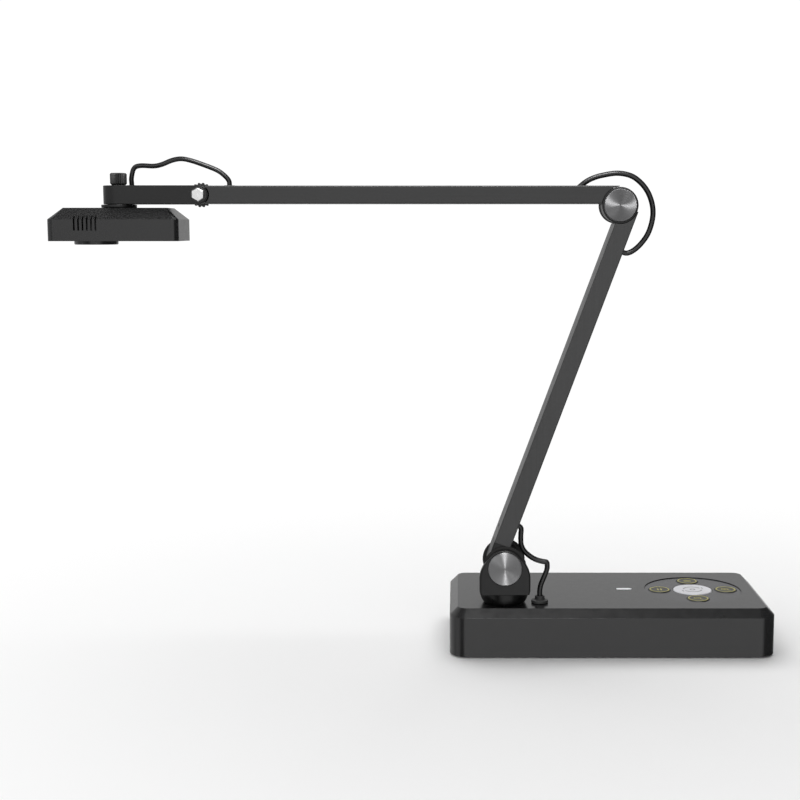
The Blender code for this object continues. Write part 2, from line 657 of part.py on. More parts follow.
def make_upper_arm():
    tilt = TILT - ELBOW
    start, end = tilt.x + 3 * MM, -0.8 * MM
    quarter = math.pi / 2
    outside = shifted(tube_shape(start, end), 0, TUBE_OFFSET, quarter)
    tube = add_object("upper_arm_tube", outside, BLACK_SATIN, ELBOW)
    cut(
        tube,
        shifted(tube_hollow(start, end), 0, TUBE_OFFSET, quarter),
        pin(CHEEK_RADIUS + GAP, -20 * MM, 20 * MM, segments=LARGE_ROUND),
        pin(8.6 * MM, -20 * MM, 20 * MM, tilt),
        pin(WHEEL_RADIUS + 0.6 * MM, -3.4 * MM, 3.4 * MM, tilt),
    )
    top = TUBE_OFFSET + TUBE_HIGH / 2
    exits = {"upper_arm_grommet_head": HEAD_CABLE[-1], "upper_arm_grommet_elbow": ELBOW_CABLE[0]}
    for name, (x, z) in exits.items():
        across = x * MM - ELBOW.x
        cut(tube, post(CABLE_HOLE, top - 5 * MM, top + 5 * MM, Vector((across, 0, 0)), SMALL_ROUND))
        grommet(name, ELBOW + Vector((across, 0, top)), 0)
    knuckle = add_object(
        "elbow_knuckle", shifted(plug_shape(-22 * MM, -7.5 * MM), 0, TUBE_OFFSET, quarter), BLACK_SATIN, ELBOW
    )
    for side in (-1, 1):
        join(knuckle, pin(CHEEK_RADIUS, side * 6 * MM, side * CHEEK_OUTER, segments=LARGE_ROUND))
    cut(
        knuckle,
        pin(CHEEK_RADIUS + 0.5 * MM, -CHEEK_INNER, CHEEK_INNER, segments=LARGE_ROUND),
        pin(AXLE_BORE, -30 * MM, 30 * MM),
    )
    axle = add_object("elbow_axle", pin(AXLE_RADIUS, -CHEEK_OUTER, CHEEK_OUTER), SCREW_STEEL, ELBOW)
    soften(axle, 0.4 * MM, 1)
    make_disc("elbow_disc_front", ELBOW, -1, CHEEK_OUTER + GAP, DISC_RADIUS)
    make_disc("elbow_disc_back", ELBOW, 1, CHEEK_OUTER + GAP, DISC_RADIUS)
    for side, way in (("front", -1), ("back", 1)):
        washer = pin(10.5 * MM, way * (TONGUE_HALF + GAP), way * (CHEEK_INNER - GAP))
        cut(add_object(f"elbow_washer_{side}", washer, BRASS, ELBOW), pin(AXLE_BORE, -20 * MM, 20 * MM))
    make_head_tongue()


def make_head_tongue():
    """The plug in the head end of the upper arm, with the two lugs that the tilt bolt goes through."""
    quarter = math.pi / 2
    plug = shifted(plug_shape(10 * MM, 19 * MM), turn=quarter)
    tongue = add_object("head_tongue", plug, BLACK_SATIN, TILT)
    half = PLUG_HIGH / 2 - GAP
    join(
        tongue,
        box_between((0, -TILT_SLOT + GAP, -half), (12 * MM, TILT_SLOT - GAP, half)),
        pin(LUG_RADIUS, -TILT_SLOT + GAP, TILT_SLOT - GAP),
    )
    wheel_room = WHEEL_THICKNESS / 2 + GAP
    cut(tongue, pin(WHEEL_RADIUS + 0.6 * MM, -wheel_room, wheel_room), pin(BOLT_BORE, -20 * MM, 20 * MM))


def make_bracket():
    deep, half = BRACKET_HALF_DEPTH, BRACKET_HALF_HEIGHT
    hub = HUB - TILT
    beam = box_between((hub.x, -deep, -half), (0, deep, half))
    bracket = add_object("head_bracket", beam, BLACK_SATIN, TILT)
    join(bracket, post(deep, -half, half, hub, LARGE_ROUND), pin(half, -deep, deep))
    room = WHEEL_RADIUS + 3.6 * MM
    cut(
        bracket,
        box_between((-room, -TILT_SLOT, -20 * MM), (20 * MM, TILT_SLOT, 20 * MM)),
        pin(BOLT_BORE, -30 * MM, 30 * MM),
        post(AXLE_BORE, -20 * MM, 20 * MM, hub),
        post(CABLE_HOLE, -20 * MM, 20 * MM, bracket_cable_place() - TILT, SMALL_ROUND),
    )
    grommet("bracket_grommet", bracket_cable_place(), 0)
    washer = add_object("tilt_washer", pin(6.2 * MM, -deep - 1.1 * MM, -deep - GAP), SCREW_STEEL, TILT)
    cut(washer, pin(BOLT_BORE, -30 * MM, 30 * MM))
    head = hexagon(BOLT_FLATS, turn=math.pi / 6)
    bolt = add_object("tilt_bolt", prism(head, -deep - 5.2 * MM, -deep - 1.4 * MM, "Y"), BRIGHT_STEEL, TILT)
    soften(bolt, 0.4 * MM, 1)
    join(bolt, pin(BOLT_RADIUS, -deep - 2 * MM, deep + 5 * MM))
    nut = add_object("tilt_nut", prism(head, deep + GAP, deep + 4.2 * MM, "Y"), BRIGHT_STEEL, TILT)
    cut(nut, pin(BOLT_BORE, -30 * MM, 30 * MM))
    half_wheel = WHEEL_THICKNESS / 2
    outline = lobed_outline(WHEEL_RADIUS, 1.3 * MM, WHEEL_LOBES, WHEEL_LOBES * 4)
    wheel = add_object("tilt_thumbwheel", prism(outline, -half_wheel, half_wheel, "Y"), BLACK_SATIN, TILT)
    cut(wheel, pin(BOLT_BORE, -30 * MM, 30 * MM))


def bracket_cable_place():
    """Where the head cable goes into the bracket, behind the knob."""
    x = HEAD_CABLE[0][0] * MM
    return Vector((x, ARM_Y + HEAD_CABLE_BACK, BRACKET_TOP))


def make_pan_knob():
    outline = lobed_outline(KNOB_RADIUS, 0.7 * MM, KNOB_RIBS, KNOB_RIBS * 4)
    low = BRACKET_TOP + GAP
    place = Vector((HUB.x, HUB.y, low))
    knob = add_object("pan_knob", prism(outline, 0, KNOB_HEIGHT, "Z"), BLACK_SATIN, place)
    cut(knob, post(3.3 * MM, -MM, 7 * MM, segments=SMALL_ROUND))


def make_head():
    place = Vector((HUB.x, HUB.y, HEAD_FLOOR))
    cover_size = Vector((HEAD_SIZE.x, HEAD_SIZE.y, HEAD_SIZE.z - HEAD_SPLIT))
    cover_middle = Vector((0, 0, HEAD_SPLIT + cover_size.z / 2))
    run, rise = HEAD_CHAMFER
    cover = add_object(
        "head_cover", chamfered_box(cover_size, cover_middle, HEAD_CORNER, run, rise), BLACK_SATIN, place
    )
    wall = Vector((HEAD_WALL, HEAD_WALL, 0))
    inner = cover_size - 2 * wall
    cut(
        cover,
        chamfered_box(inner, cover_middle - Vector((0, 0, HEAD_WALL)), HEAD_CORNER - HEAD_WALL, run, rise),
        post(AXLE_BORE, 15 * MM, 40 * MM, segments=SMALL_ROUND),
        *vent_cutters(),
    )
    tray_size = Vector((HEAD_SIZE.x, HEAD_SIZE.y, HEAD_SPLIT - GAP))
    tray = add_object(
        "head_tray", rounded_box(tray_size, Vector((0, 0, tray_size.z / 2)), HEAD_CORNER), BLACK_SATIN, place
    )
    rim = inner - 2 * Vector((GAP, GAP, 0))
    rim.z = 4 * MM
    rim_middle = Vector((0, 0, HEAD_SPLIT))
    join(tray, rounded_box(rim, rim_middle, HEAD_CORNER - HEAD_WALL - GAP))
    pocket = Vector((rim.x - 3 * MM, rim.y - 3 * MM, rim.z))
    cut(
        tray,
        rounded_box(pocket, rim_middle + Vector((0, 0, 0.8 * MM)), 2.5 * MM),
        post(LENS_RADIUS + GAP, -5 * MM, 20 * MM, LENS - place, LARGE_ROUND),
    )
    make_head_inside(place)


def vent_cutters():
    """The cooling slots over the lens, through the front wall and up into the slope."""
    places = [LENS_OFFSET - 2 * MM + (i - (VENT_COUNT - 1) / 2) * VENT_PITCH for i in range(VENT_COUNT)]
    half, front = VENT_WIDTH / 2, -HEAD_SIZE.y / 2
    low, high = VENT_SPAN
    return [box_between((x - half, front - 2 * MM, low), (x + half, front + 4 * MM, high)) for x in places]


def make_head_inside(place):
    lens = LENS - place
    barrel = [
        (LENS_RADIUS - 0.4 * MM, 14 * MM), (LENS_RADIUS, 13.6 * MM), (LENS_RADIUS, 0.4 * MM - LENS_DROP),
        (LENS_RADIUS - 0.4 * MM, -LENS_DROP), (LENS_RADIUS - 2.2 * MM, -LENS_DROP), (10.5 * MM, 2.4 * MM),
        (9.4 * MM, 2.4 * MM), (9.4 * MM, 14 * MM),
    ]
    turned("lens_barrel", barrel, LENS_BLACK, LENS, LARGE_ROUND)
    dome = [(9.1 * MM * math.cos(t), 3.4 * MM - 1.8 * MM * math.sin(t)) for t in (0, 0.3, 0.6, 0.9, 1.2)]
    glass = [(0, 5 * MM), (9.1 * MM, 5 * MM), *dome, (0, 1.6 * MM)]
    turned("lens_glass", glass, GLASS, LENS, ROUND)
    module = add_object("camera_module", post(8.8 * MM, 6 * MM, 18 * MM, lens), LENS_BLACK, place)
    soften(module, 0.5 * MM, 1)
    board = Vector((44, 36, 1.4)) * MM
    add_object("camera_board", box(board, lens + Vector((0, 0, 19.2 * MM))), BOARD_GREEN, place)
    flange_low = HEAD_SIZE.z + GAP
    flange_high = BRACKET_TOP - 2 * BRACKET_HALF_HEIGHT - HEAD_FLOOR - GAP
    profile = [
        (FLANGE_RADIUS - 0.5 * MM, flange_high), (FLANGE_RADIUS, flange_high - 0.5 * MM),
        (FLANGE_RADIUS, flange_low), (AXLE_BORE, flange_low), (AXLE_BORE, flange_high),
    ]
    turned("head_flange", profile, BLACK_SATIN, place, LARGE_ROUND)
    top = BRACKET_TOP - HEAD_FLOOR
    spindle = [
        (0, top + 6 * MM), (3 * MM, top + 6 * MM), (3 * MM, top - 2 * MM), (AXLE_RADIUS, top - 2 * MM),
        (AXLE_RADIUS, 21.6 * MM), (0, 21.6 * MM),
    ]
    turned("pan_spindle", spindle, SCREW_STEEL, place, SMALL_ROUND)


def make_cables():
    cable("head_cable", HEAD_CABLE, HEAD_CABLE_RADIUS, CABLE_BLACK, HEAD_CABLE_BACK)
    cable("elbow_cable", ELBOW_CABLE, ARM_CABLE_RADIUS, CABLE_BLACK)
    cable("shoulder_cable_upper", SHOULDER_CABLE_UPPER, ARM_CABLE_RADIUS, CABLE_BLACK)
    lower = cable("shoulder_cable_lower", SHOULDER_CABLE_LOWER, ARM_CABLE_RADIUS, CABLE_BLACK)
    for point in lower.data.splines[0].points:
        share = 1 - (point.co.z - BASE_TOP) / (SHOULDER.z - BASE_TOP)
        point.co.y += (CABLE_OUTLET.y - ARM_Y) * min(1, max(0, share * 1.2))


clear_scene()
CAMERA = new_collection("document_camera", False)
CUTTERS = new_collection("cutters", True)
BLACK_GLOSS = new_material("black_gloss_plastic", (0.035, 0.035, 0.037), 0.28)
BLACK_SATIN = new_material("black_satin_metal", (0.045, 0.045, 0.047), 0.42)
PANEL_BLACK = new_material("panel_black", (0.02, 0.02, 0.021), 0.25)
BUTTON_SILVER = new_material("button_silver", (0.72, 0.73, 0.74), 0.35, 0.6)
BRUSHED_STEEL = new_material("brushed_steel", (0.38, 0.38, 0.39), 0.32, 1)
BRIGHT_STEEL = new_material("bright_steel", (0.8, 0.8, 0.8), 0.25, 1)
SCREW_STEEL = new_material("screw_steel", (0.5, 0.5, 0.52), 0.35, 1)
PLATE_STEEL = new_material("plate_black_steel", (0.05, 0.05, 0.05), 0.5, 0.4)
CAST_IRON = new_material("cast_iron", (0.16, 0.16, 0.17), 0.6, 0.8)
PORT_METAL = new_material("port_metal", (0.6, 0.6, 0.62), 0.35, 1)
BRASS = new_material("brass", (0.6, 0.45, 0.2), 0.35, 1)
RUBBER = new_material("black_rubber", (0.02, 0.02, 0.02), 0.75)
CABLE_BLACK = new_material("cable_black", (0.018, 0.018, 0.019), 0.45)
LENS_BLACK = new_material("lens_black", (0.015, 0.015, 0.016), 0.3)
LENS_WHITE = new_material("status_white", (0.85, 0.86, 0.88), 0.4)
GLASS = new_material("lens_glass", (0.02, 0.03, 0.05), 0.05)
BOARD_GREEN = new_material("board_green", (0.02, 0.16, 0.07), 0.5)
make_base_shell()
make_base_underside()
make_base_inside()
make_ports()
make_keypad()
make_cable_outlet()
make_turret()
make_lower_arm()
make_upper_arm()
make_bracket()
make_pan_knob()
make_head()
make_cables()
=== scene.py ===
"""The looks of the desktop document camera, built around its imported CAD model. Units are metres."""

import json
import math

import bmesh
import bpy
from mathutils import Matrix, Vector


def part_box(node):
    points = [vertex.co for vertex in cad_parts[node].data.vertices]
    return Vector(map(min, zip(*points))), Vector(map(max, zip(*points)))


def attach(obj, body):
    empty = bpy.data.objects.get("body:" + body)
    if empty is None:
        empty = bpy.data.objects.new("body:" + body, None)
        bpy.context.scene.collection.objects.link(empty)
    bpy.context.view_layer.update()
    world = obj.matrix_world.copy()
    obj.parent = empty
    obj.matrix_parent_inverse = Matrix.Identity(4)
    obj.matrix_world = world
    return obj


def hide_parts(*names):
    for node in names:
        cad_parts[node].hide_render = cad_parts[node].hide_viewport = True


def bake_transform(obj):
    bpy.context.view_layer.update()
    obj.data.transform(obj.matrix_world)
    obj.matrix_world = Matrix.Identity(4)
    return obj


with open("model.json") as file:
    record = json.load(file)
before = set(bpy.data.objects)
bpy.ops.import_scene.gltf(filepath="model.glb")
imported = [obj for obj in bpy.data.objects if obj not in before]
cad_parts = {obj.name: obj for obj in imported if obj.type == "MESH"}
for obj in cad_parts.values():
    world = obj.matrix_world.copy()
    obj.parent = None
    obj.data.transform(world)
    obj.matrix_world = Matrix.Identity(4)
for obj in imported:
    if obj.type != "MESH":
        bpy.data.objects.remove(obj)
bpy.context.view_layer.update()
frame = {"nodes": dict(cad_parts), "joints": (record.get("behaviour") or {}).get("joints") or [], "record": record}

MM = 0.001
SCENE = bpy.context.scene
JOINTS = {joint["name"]: joint for joint in frame["joints"]}
SHOULDER = Vector(JOINTS["shoulder_fold"]["pos_m"])
ELBOW = Vector(JOINTS["elbow_fold"]["pos_m"])
TILT = Vector(JOINTS["head_tilt"]["pos_m"])
HUB = Vector(JOINTS["head_pan"]["pos_m"])
ARM_Y = SHOULDER.y

FINE = 72
COARSE = 32
GAP = 0.3 * MM

BASE_LOW, BASE_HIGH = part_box("base_shell")
BASE_TOP = BASE_HIGH.z
BASE_CORNER = 14 * MM
BASE_CHAMFER = 6.5 * MM
BASE_WALL = 2.6 * MM
PANEL_SUNK = 0.6 * MM
KEY_SUNK = 0.75 * MM
MAT_EDGE = 8 * MM
KEYS = ("menu_button", "freeze_button", "zoom_out_button", "zoom_in_button")
TUBE_HIGH = 14 * MM
TUBE_DEEP = 30 * MM
TUBE_WALL = 1.6 * MM
TUBE_EDGE = 1.1 * MM
TUBE_OFFSET = 8.2 * MM
LEAN = math.radians(20.2)
LOWER_LENGTH = 302.3 * MM
LOWER_START = 16.6 * MM
FORK_WIDTH = 41 * MM
FORK_DOME = 15.2 * MM
BACK_DOME = 9.2 * MM
BACK_DROP = 9.3 * MM
FORK_ROUND = 1.2 * MM
FORK_SHOULDER = 8 * MM
TURNTABLE_HEIGHT = 10.6 * MM
CHEEK_RADIUS = 14.2 * MM
FRONT_CAP = 13.4 * MM
BACK_CAP = 7.6 * MM
ELBOW_CAP = 12.9 * MM
AXLE_BORE = 4.3 * MM
CABLE_HOLE = 3.6 * MM
HEAD_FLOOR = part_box("head_tray")[0].z
HEAD_SIZE = Vector((102, 52, 26)) * MM
HEAD_CORNER = 5 * MM
HEAD_SPLIT = 3.2 * MM
HEAD_WALL = 1.8 * MM
HEAD_RUN = 10.5 * MM
HEAD_RISE = 9 * MM
VENT_COUNT = 6
VENT_PITCH = 3.35 * MM

HEAD_CABLE = (
    (-384.0, 375.0), (-384.0, 378.2), (-383.9, 383), (-381.6, 390.2), (-376.4, 392.4), (-365.2, 392.1),
    (-358.6, 393.3), (-350.4, 396.4), (-343.2, 397.6), (-335.9, 396.4), (-326.4, 393.3), (-314.8, 388.7),
    (-308.6, 384.2), (-305.7, 380.6), (-305.2, 377.8), (-305.2, 374.6),
)
ELBOW_CABLE = (
    (-30.6, 374.2), (-27.4, 377.0), (-24.2, 379.5), (-19.0, 382.3), (-11.6, 384.6), (0.8, 386.4),
    (11.9, 384.3), (20.2, 378.3), (25.9, 370.3), (29.1, 360.5), (29.2, 350.7), (26.1, 339.7),
    (20.6, 331.4), (14.6, 325.9), (9.6, 323.7), (6.2, 324.3), (3.2, 325.3),
)
SHOULDER_CABLE_UPPER = (
    (-78.0, 103.8), (-75.3, 102.8), (-73.4, 100.6), (-73.6, 95.8), (-73.6, 91.5), (-73.2, 87.0),
    (-71.0, 82.3), (-66.8, 78.2), (-62.0, 75.2), (-57.0, 73.5), (-52.6, 72.6), (-51.9, 71.2),
)
SHOULDER_CABLE_LOWER = (
    (-51.9, 71.2), (-52.0, 67.4), (-53.2, 63.6), (-55.2, 59.0), (-57.2, 54.0), (-58.0, 49.6), (-58.0, 46.2),
    (-58.0, 42.0),
)
HEAD_CABLE_RADIUS = 1.95 * MM
ARM_CABLE_RADIUS = 2.15 * MM


# --- materials -----------------------------------------------------------------------------------------


class Nodes:
    """A node tree under construction, with short calls for the nodes that it uses."""

    def __init__(self, tree):
        self.tree = tree

    def node(self, kind, constants=(), sources=(), **settings):
        """A node with its settings, the constants of its inputs, and what is linked to its inputs."""
        made = self.tree.nodes.new(kind)
        for name, value in settings.items():
            setattr(made, name, value)
        for name, value in dict(constants).items():
            made.inputs[name].default_value = value
        for name, source in dict(sources).items():
            self.tree.links.new(source, made.inputs[name])
        return made

    def ranged(self, value, low, high, start=0.3, end=0.7, **settings):
        limits = {"From Min": start, "From Max": end, "To Min": low, "To Max": high}
        return self.node("ShaderNodeMapRange", limits, {"Value": value}, **settings).outputs["Result"]

    def ramp(self, value, stops, interpolation="LINEAR"):
        """The colours at (position, colour) stops, picked by the value."""
        made = self.node("ShaderNodeValToRGB", (), {"Fac": value})
        made.color_ramp.interpolation = interpolation
        marks = made.color_ramp.elements
        marks[0].position, marks[1].position = stops[0][0], stops[-1][0]
        marks[0].color, marks[1].color = stops[0][1], stops[-1][1]
        for position, color in stops[1:-1]:
            marks.new(position).color = color
        return made.outputs["Color"]


class Shader(Nodes):
    """A Principled material under construction."""

    def __init__(self, name, color, roughness, metallic=0.0, **constants):
        self.material = bpy.data.materials.new(name)
        self.material.use_nodes = True
        super().__init__(self.material.node_tree)
        self.surface = self.tree.nodes["Principled BSDF"]
        self.surface.inputs["Base Color"].default_value = (*color, 1)
        self.surface.inputs["Roughness"].default_value = roughness
        self.surface.inputs["Metallic"].default_value = metallic
        for socket, value in constants.items():
            self.surface.inputs[socket.replace("_", " ")].default_value = value
        self.color = color
        self.roughness = roughness
        self.coordinates = self.node("ShaderNodeTexCoord").outputs["Object"]

    def drive(self, socket, source):
        """Links what comes out of a node to one of the surface's inputs."""
        self.tree.links.new(source, self.surface.inputs[socket])

    def stretched(self, scale):
        """The object's coordinates, stretched along the axes by the scale."""
        source = {"Vector": self.coordinates}
        return self.node("ShaderNodeMapping", {"Scale": scale}, source).outputs["Vector"]

    def noise(self, scale, detail=3.0, where=None):
        where = {"Vector": where or self.coordinates}
        return self.node("ShaderNodeTexNoise", {"Scale": scale, "Detail": detail}, where).outputs["Fac"]

    def vary_color(self, value, amount, other=None):
        """The colour runs between a darker and a lighter shade of itself, or towards another one."""
        dark = [c * (1 - amount) for c in self.color]
        light = other or [min(1.0, c * (1 + amount)) for c in self.color]
        self.drive("Base Color", self.ramp(value, ((0.3, (*dark, 1)), (0.7, (*light, 1)))))

    def vary_roughness(self, value, amount):
        low, high = max(0.02, self.roughness - amount), self.roughness + amount
        self.drive("Roughness", self.ranged(value, low, high))

    def bump(self, height, strength, distance):
        """A bump that adds to the ones before it."""
        sources = {"Height": height}
        previous = self.surface.inputs["Normal"].links
        if previous:
            sources["Normal"] = previous[0].from_socket
        made = self.node("ShaderNodeBump", {"Strength": strength, "Distance": distance}, sources)
        self.drive("Normal", made.outputs["Normal"])


def moulded(name, color, roughness, grain=2600, relief=0.12, **constants):
    """Injection-moulded plastic: a fine spark texture, with a faint unevenness in its colour and gloss."""
    made = Shader(name, color, roughness, **constants)
    made.vary_color(made.noise(38, 4), 0.05)
    made.vary_roughness(made.noise(220, 4), 0.02)
    made.bump(made.noise(grain, 2), relief, 0.05 * MM)
    return made.material


def coated(name, color, roughness, relief=0.2, **constants):
    """Powder-coated metal: a soft orange peel over a fine grain."""
    made = Shader(name, color, roughness, **constants)
    made.vary_color(made.noise(55, 5), 0.08)
    made.vary_roughness(made.noise(160, 3), 0.06)
    made.bump(made.noise(700, 2), relief, 0.05 * MM)
    made.bump(made.noise(3600, 2), relief * 0.7, 0.03 * MM)
    return made.material


def drawn(name, color, roughness, scale, **constants):
    """Anodised extrusion, with faint die lines along its length."""
    made = Shader(name, color, roughness, **constants)
    lines = made.noise(900, 3, made.stretched(scale))
    made.vary_color(lines, 0.09)
    made.vary_roughness(made.noise(60, 4), 0.05)
    made.bump(lines, 0.12, 0.03 * MM)
    made.bump(made.noise(4200, 2), 0.14, 0.03 * MM)
    return made.material


def turned_metal(name, color, roughness, turn):
    """Metal faced on a lathe: ring marks round the Y axis of the piece, and a highlight that fans out."""
    made = Shader(name, color, roughness, 1.0, Anisotropic=1.0, Anisotropic_Rotation=turn)
    tangent = made.node("ShaderNodeTangent", direction_type="UV_MAP", uv_map="turned")
    made.drive("Tangent", tangent.outputs["Tangent"])
    around = made.node("ShaderNodeUVMap", uv_map="turned").outputs["UV"]
    along = made.node("ShaderNodeSeparateXYZ", (), {"Vector": around}).outputs["Y"]
    rings = {"Scale": 5200, "Detail": 4}
    rings = made.node("ShaderNodeTexNoise", rings, {"W": along}, noise_dimensions="1D").outputs["Fac"]
    made.vary_color(rings, 0.16)
    made.vary_roughness(rings, 0.07)
    made.bump(rings, 0.1, 0.02 * MM)
    return made.material


def plated(name, color, roughness, **constants):
    """Bright plated or plain steel, with a little haze and fine handling marks."""
    made = Shader(name, color, roughness, 1.0, **constants)
    made.vary_color(made.noise(300, 4), 0.06)
    made.vary_roughness(made.noise(500, 4), 0.06)
    made.bump(made.noise(1500, 3, made.stretched((1, 6, 1))), 0.05, 0.02 * MM)
    return made.material


def cast(name, color, roughness, metallic):
    """Sand-cast metal: coarse grain, dull and uneven."""
    made = Shader(name, color, roughness, metallic)
    made.vary_color(made.noise(220, 6), 0.3)
    made.vary_roughness(made.noise(300, 3), 0.1)
    made.bump(made.noise(900, 5), 0.5, 0.2 * MM)
    return made.material


def jacket(name, color, roughness):
    """Soft cable jacket or rubber, slightly dusty, with a fine matt skin."""
    made = Shader(name, color, roughness, Specular_IOR_Level=0.55)
    made.vary_color(made.noise(70, 5), 0.2)
    made.vary_roughness(made.noise(140, 4), 0.08)
    made.bump(made.noise(1800, 2), 0.05, 0.03 * MM)
    return made.material


def coated_glass(name):
    """Dark coated lens glass with a faint cool and warm bloom."""
    made = Shader(name, (0.012, 0.016, 0.03), 0.04, Coat_Weight=1.0, Coat_Roughness=0.02, IOR=1.6)
    made.vary_color(made.noise(60, 2), 0.4, (0.03, 0.018, 0.045))
    made.vary_roughness(made.noise(200, 2), 0.015)
    return made.material


def solder_mask(name):
    """A printed board: green mask over faint copper traces."""
    made = Shader(name, (0.012, 0.1, 0.04), 0.35)
    traces = made.noise(420, 1, made.stretched((1, 0.25, 1)))
    made.vary_color(traces, 0.3)
    made.vary_roughness(made.noise(200, 3), 0.06)
    made.bump(traces, 0.3, 0.05 * MM)
    return made.material


BASE_BLACK = moulded("base_black", (0.015, 0.015, 0.0155), 0.22, relief=0.05)
HEAD_BLACK = moulded("head_black", (0.012, 0.012, 0.0125), 0.25, grain=3200, relief=0.06)
FORK_BLACK = coated("fork_black", (0.006, 0.006, 0.0063), 0.4, Specular_IOR_Level=0.36)
DARK_METAL = coated("dark_metal", (0.018, 0.018, 0.018), 0.45)
FOOT_BLACK = coated("foot_black", (0.004, 0.004, 0.004), 0.32, relief=0.1, Specular_IOR_Level=0.3)
LOWER_ARM_BLACK = drawn("lower_arm_black", (0.034, 0.034, 0.0345), 0.4, (1, 1, 0.01))
UPPER_ARM_BLACK = drawn("upper_arm_black", (0.018, 0.018, 0.0185), 0.42, (0.01, 1, 1))
KNOB_BLACK = moulded("knob_black", (0.02, 0.02, 0.02), 0.45, relief=0.2)
PANEL_BLACK = moulded("panel_black", (0.025, 0.025, 0.028), 0.22, relief=0.04)
KEY_BLACK = moulded("key_black", (0.012, 0.012, 0.012), 0.4, relief=0.1)
KEY_SILVER = moulded("key_silver", (0.62, 0.62, 0.65), 0.34, relief=0.06)
KEY_GOLD = moulded("key_gold", (0.36, 0.33, 0.07), 0.4, relief=0.05)
KEY_GREY = moulded("key_grey", (0.22, 0.22, 0.23), 0.4, relief=0.05)
STATUS_WHITE = moulded("status_white", (0.8, 0.81, 0.83), 0.38, relief=0.05)
SHOULDER_DISC = turned_metal("shoulder_disc_metal", (0.33, 0.33, 0.335), 0.5, 0.25)
ELBOW_DISC = turned_metal("elbow_disc_metal", (0.3, 0.3, 0.305), 0.58, 0.06)
BRIGHT_STEEL = plated("bright_steel", (0.7, 0.7, 0.7), 0.34)
PLAIN_STEEL = plated("plain_steel", (0.5, 0.5, 0.51), 0.36)
PORT_STEEL = plated("port_steel", (0.6, 0.6, 0.62), 0.3)
CONTACT_GOLD = plated("contact_gold", (0.75, 0.52, 0.2), 0.3)
BRASS = plated("brass", (0.62, 0.46, 0.2), 0.36)
CAST_IRON = cast("cast_iron", (0.09, 0.09, 0.095), 0.65, 0.7)
CABLE_BLACK = jacket("cable_black", (0.006, 0.006, 0.0065), 0.3)
RUBBER = jacket("rubber", (0.018, 0.018, 0.018), 0.7)
LENS_BLACK = moulded("lens_black", (0.012, 0.012, 0.013), 0.3, relief=0.08)
LENS_GLASS = coated_glass("lens_glass")
BOARD_GREEN = solder_mask("board_green")


# --- shapes --------------------------------------------------------------------------------------------


def loft(rings, loop=False):
    """Skins a row of rings with equal numbers of points. The ends are capped, or joined up by loop."""
    shape = bmesh.new()
    rows = [[shape.verts.new(point) for point in ring] for ring in rings]
    if loop:
        rows.append(rows[0])
    else:
        shape.faces.new(rows[0])
        shape.faces.new(rows[-1])
    for lower, upper in zip(rows, rows[1:]):
        for i, corner in enumerate(lower):
            after = (i + 1) % len(lower)
            shape.faces.new((corner, lower[after], upper[after], upper[i]))
    return shape


def rounded_ring(half_x, half_y, corner, z, steps=10):
    """The points of a rounded rectangle at a height."""
    ring = []
    for quarter in range(4):
        x = (half_x - corner) * (1 if quarter in (0, 3) else -1)
        y = (half_y - corner) * (1 if quarter in (0, 1) else -1)
        for i in range(steps + 1):
            turn = math.pi / 2 * (quarter + i / steps)
            ring.append(Vector((x + corner * math.cos(turn), y + corner * math.sin(turn), z)))
    return ring


def rounded_block(size, corner, low=0.0, steps=10):
    rings = [rounded_ring(size[0] / 2, size[1] / 2, corner, z, steps) for z in (low, low + size[2])]
    return loft(rings)


def block(low, high):
    shape = bmesh.new()
    bmesh.ops.create_cube(shape, size=1)
    size, middle = Vector(high) - Vector(low), (Vector(high) + Vector(low)) / 2
    bmesh.ops.scale(shape, vec=size, verts=shape.verts)
    bmesh.ops.translate(shape, vec=middle, verts=shape.verts)
    return shape


def polar_ring(radius_at, z, points):
    """A ring whose radius is a function of its angle."""
    turns = [2 * math.pi * i / points for i in range(points)]
    return [Vector((radius_at(t) * math.cos(t), radius_at(t) * math.sin(t), z)) for t in turns]


def bowed(start, corner, end, steps=10):
    """A curve from start to end that bends towards the corner."""
    shares = [i / steps for i in range(steps + 1)]
    return [(1 - t) ** 2 * start + 2 * t * (1 - t) * corner + t ** 2 * end for t in shares]


def filleted(profile, radius, steps=4):
    """A closed profile of (radius, height) points whose corners are rounded, apart from those on the axis."""
    made = []
    count = len(profile)
    for i, point in enumerate(profile):
        here = Vector(point)
        before, after = Vector(profile[i - 1]), Vector(profile[(i + 1) % count])
        to_before, to_after = before - here, after - here
        reach = min(radius, 0.45 * to_before.length, 0.45 * to_after.length)
        if here.x < 1e-7 or reach < 1e-6:
            made.append(here)
            continue
        start, end = here + to_before.normalized() * reach, here + to_after.normalized() * reach
        made += bowed(start, here, end, steps)
    return made


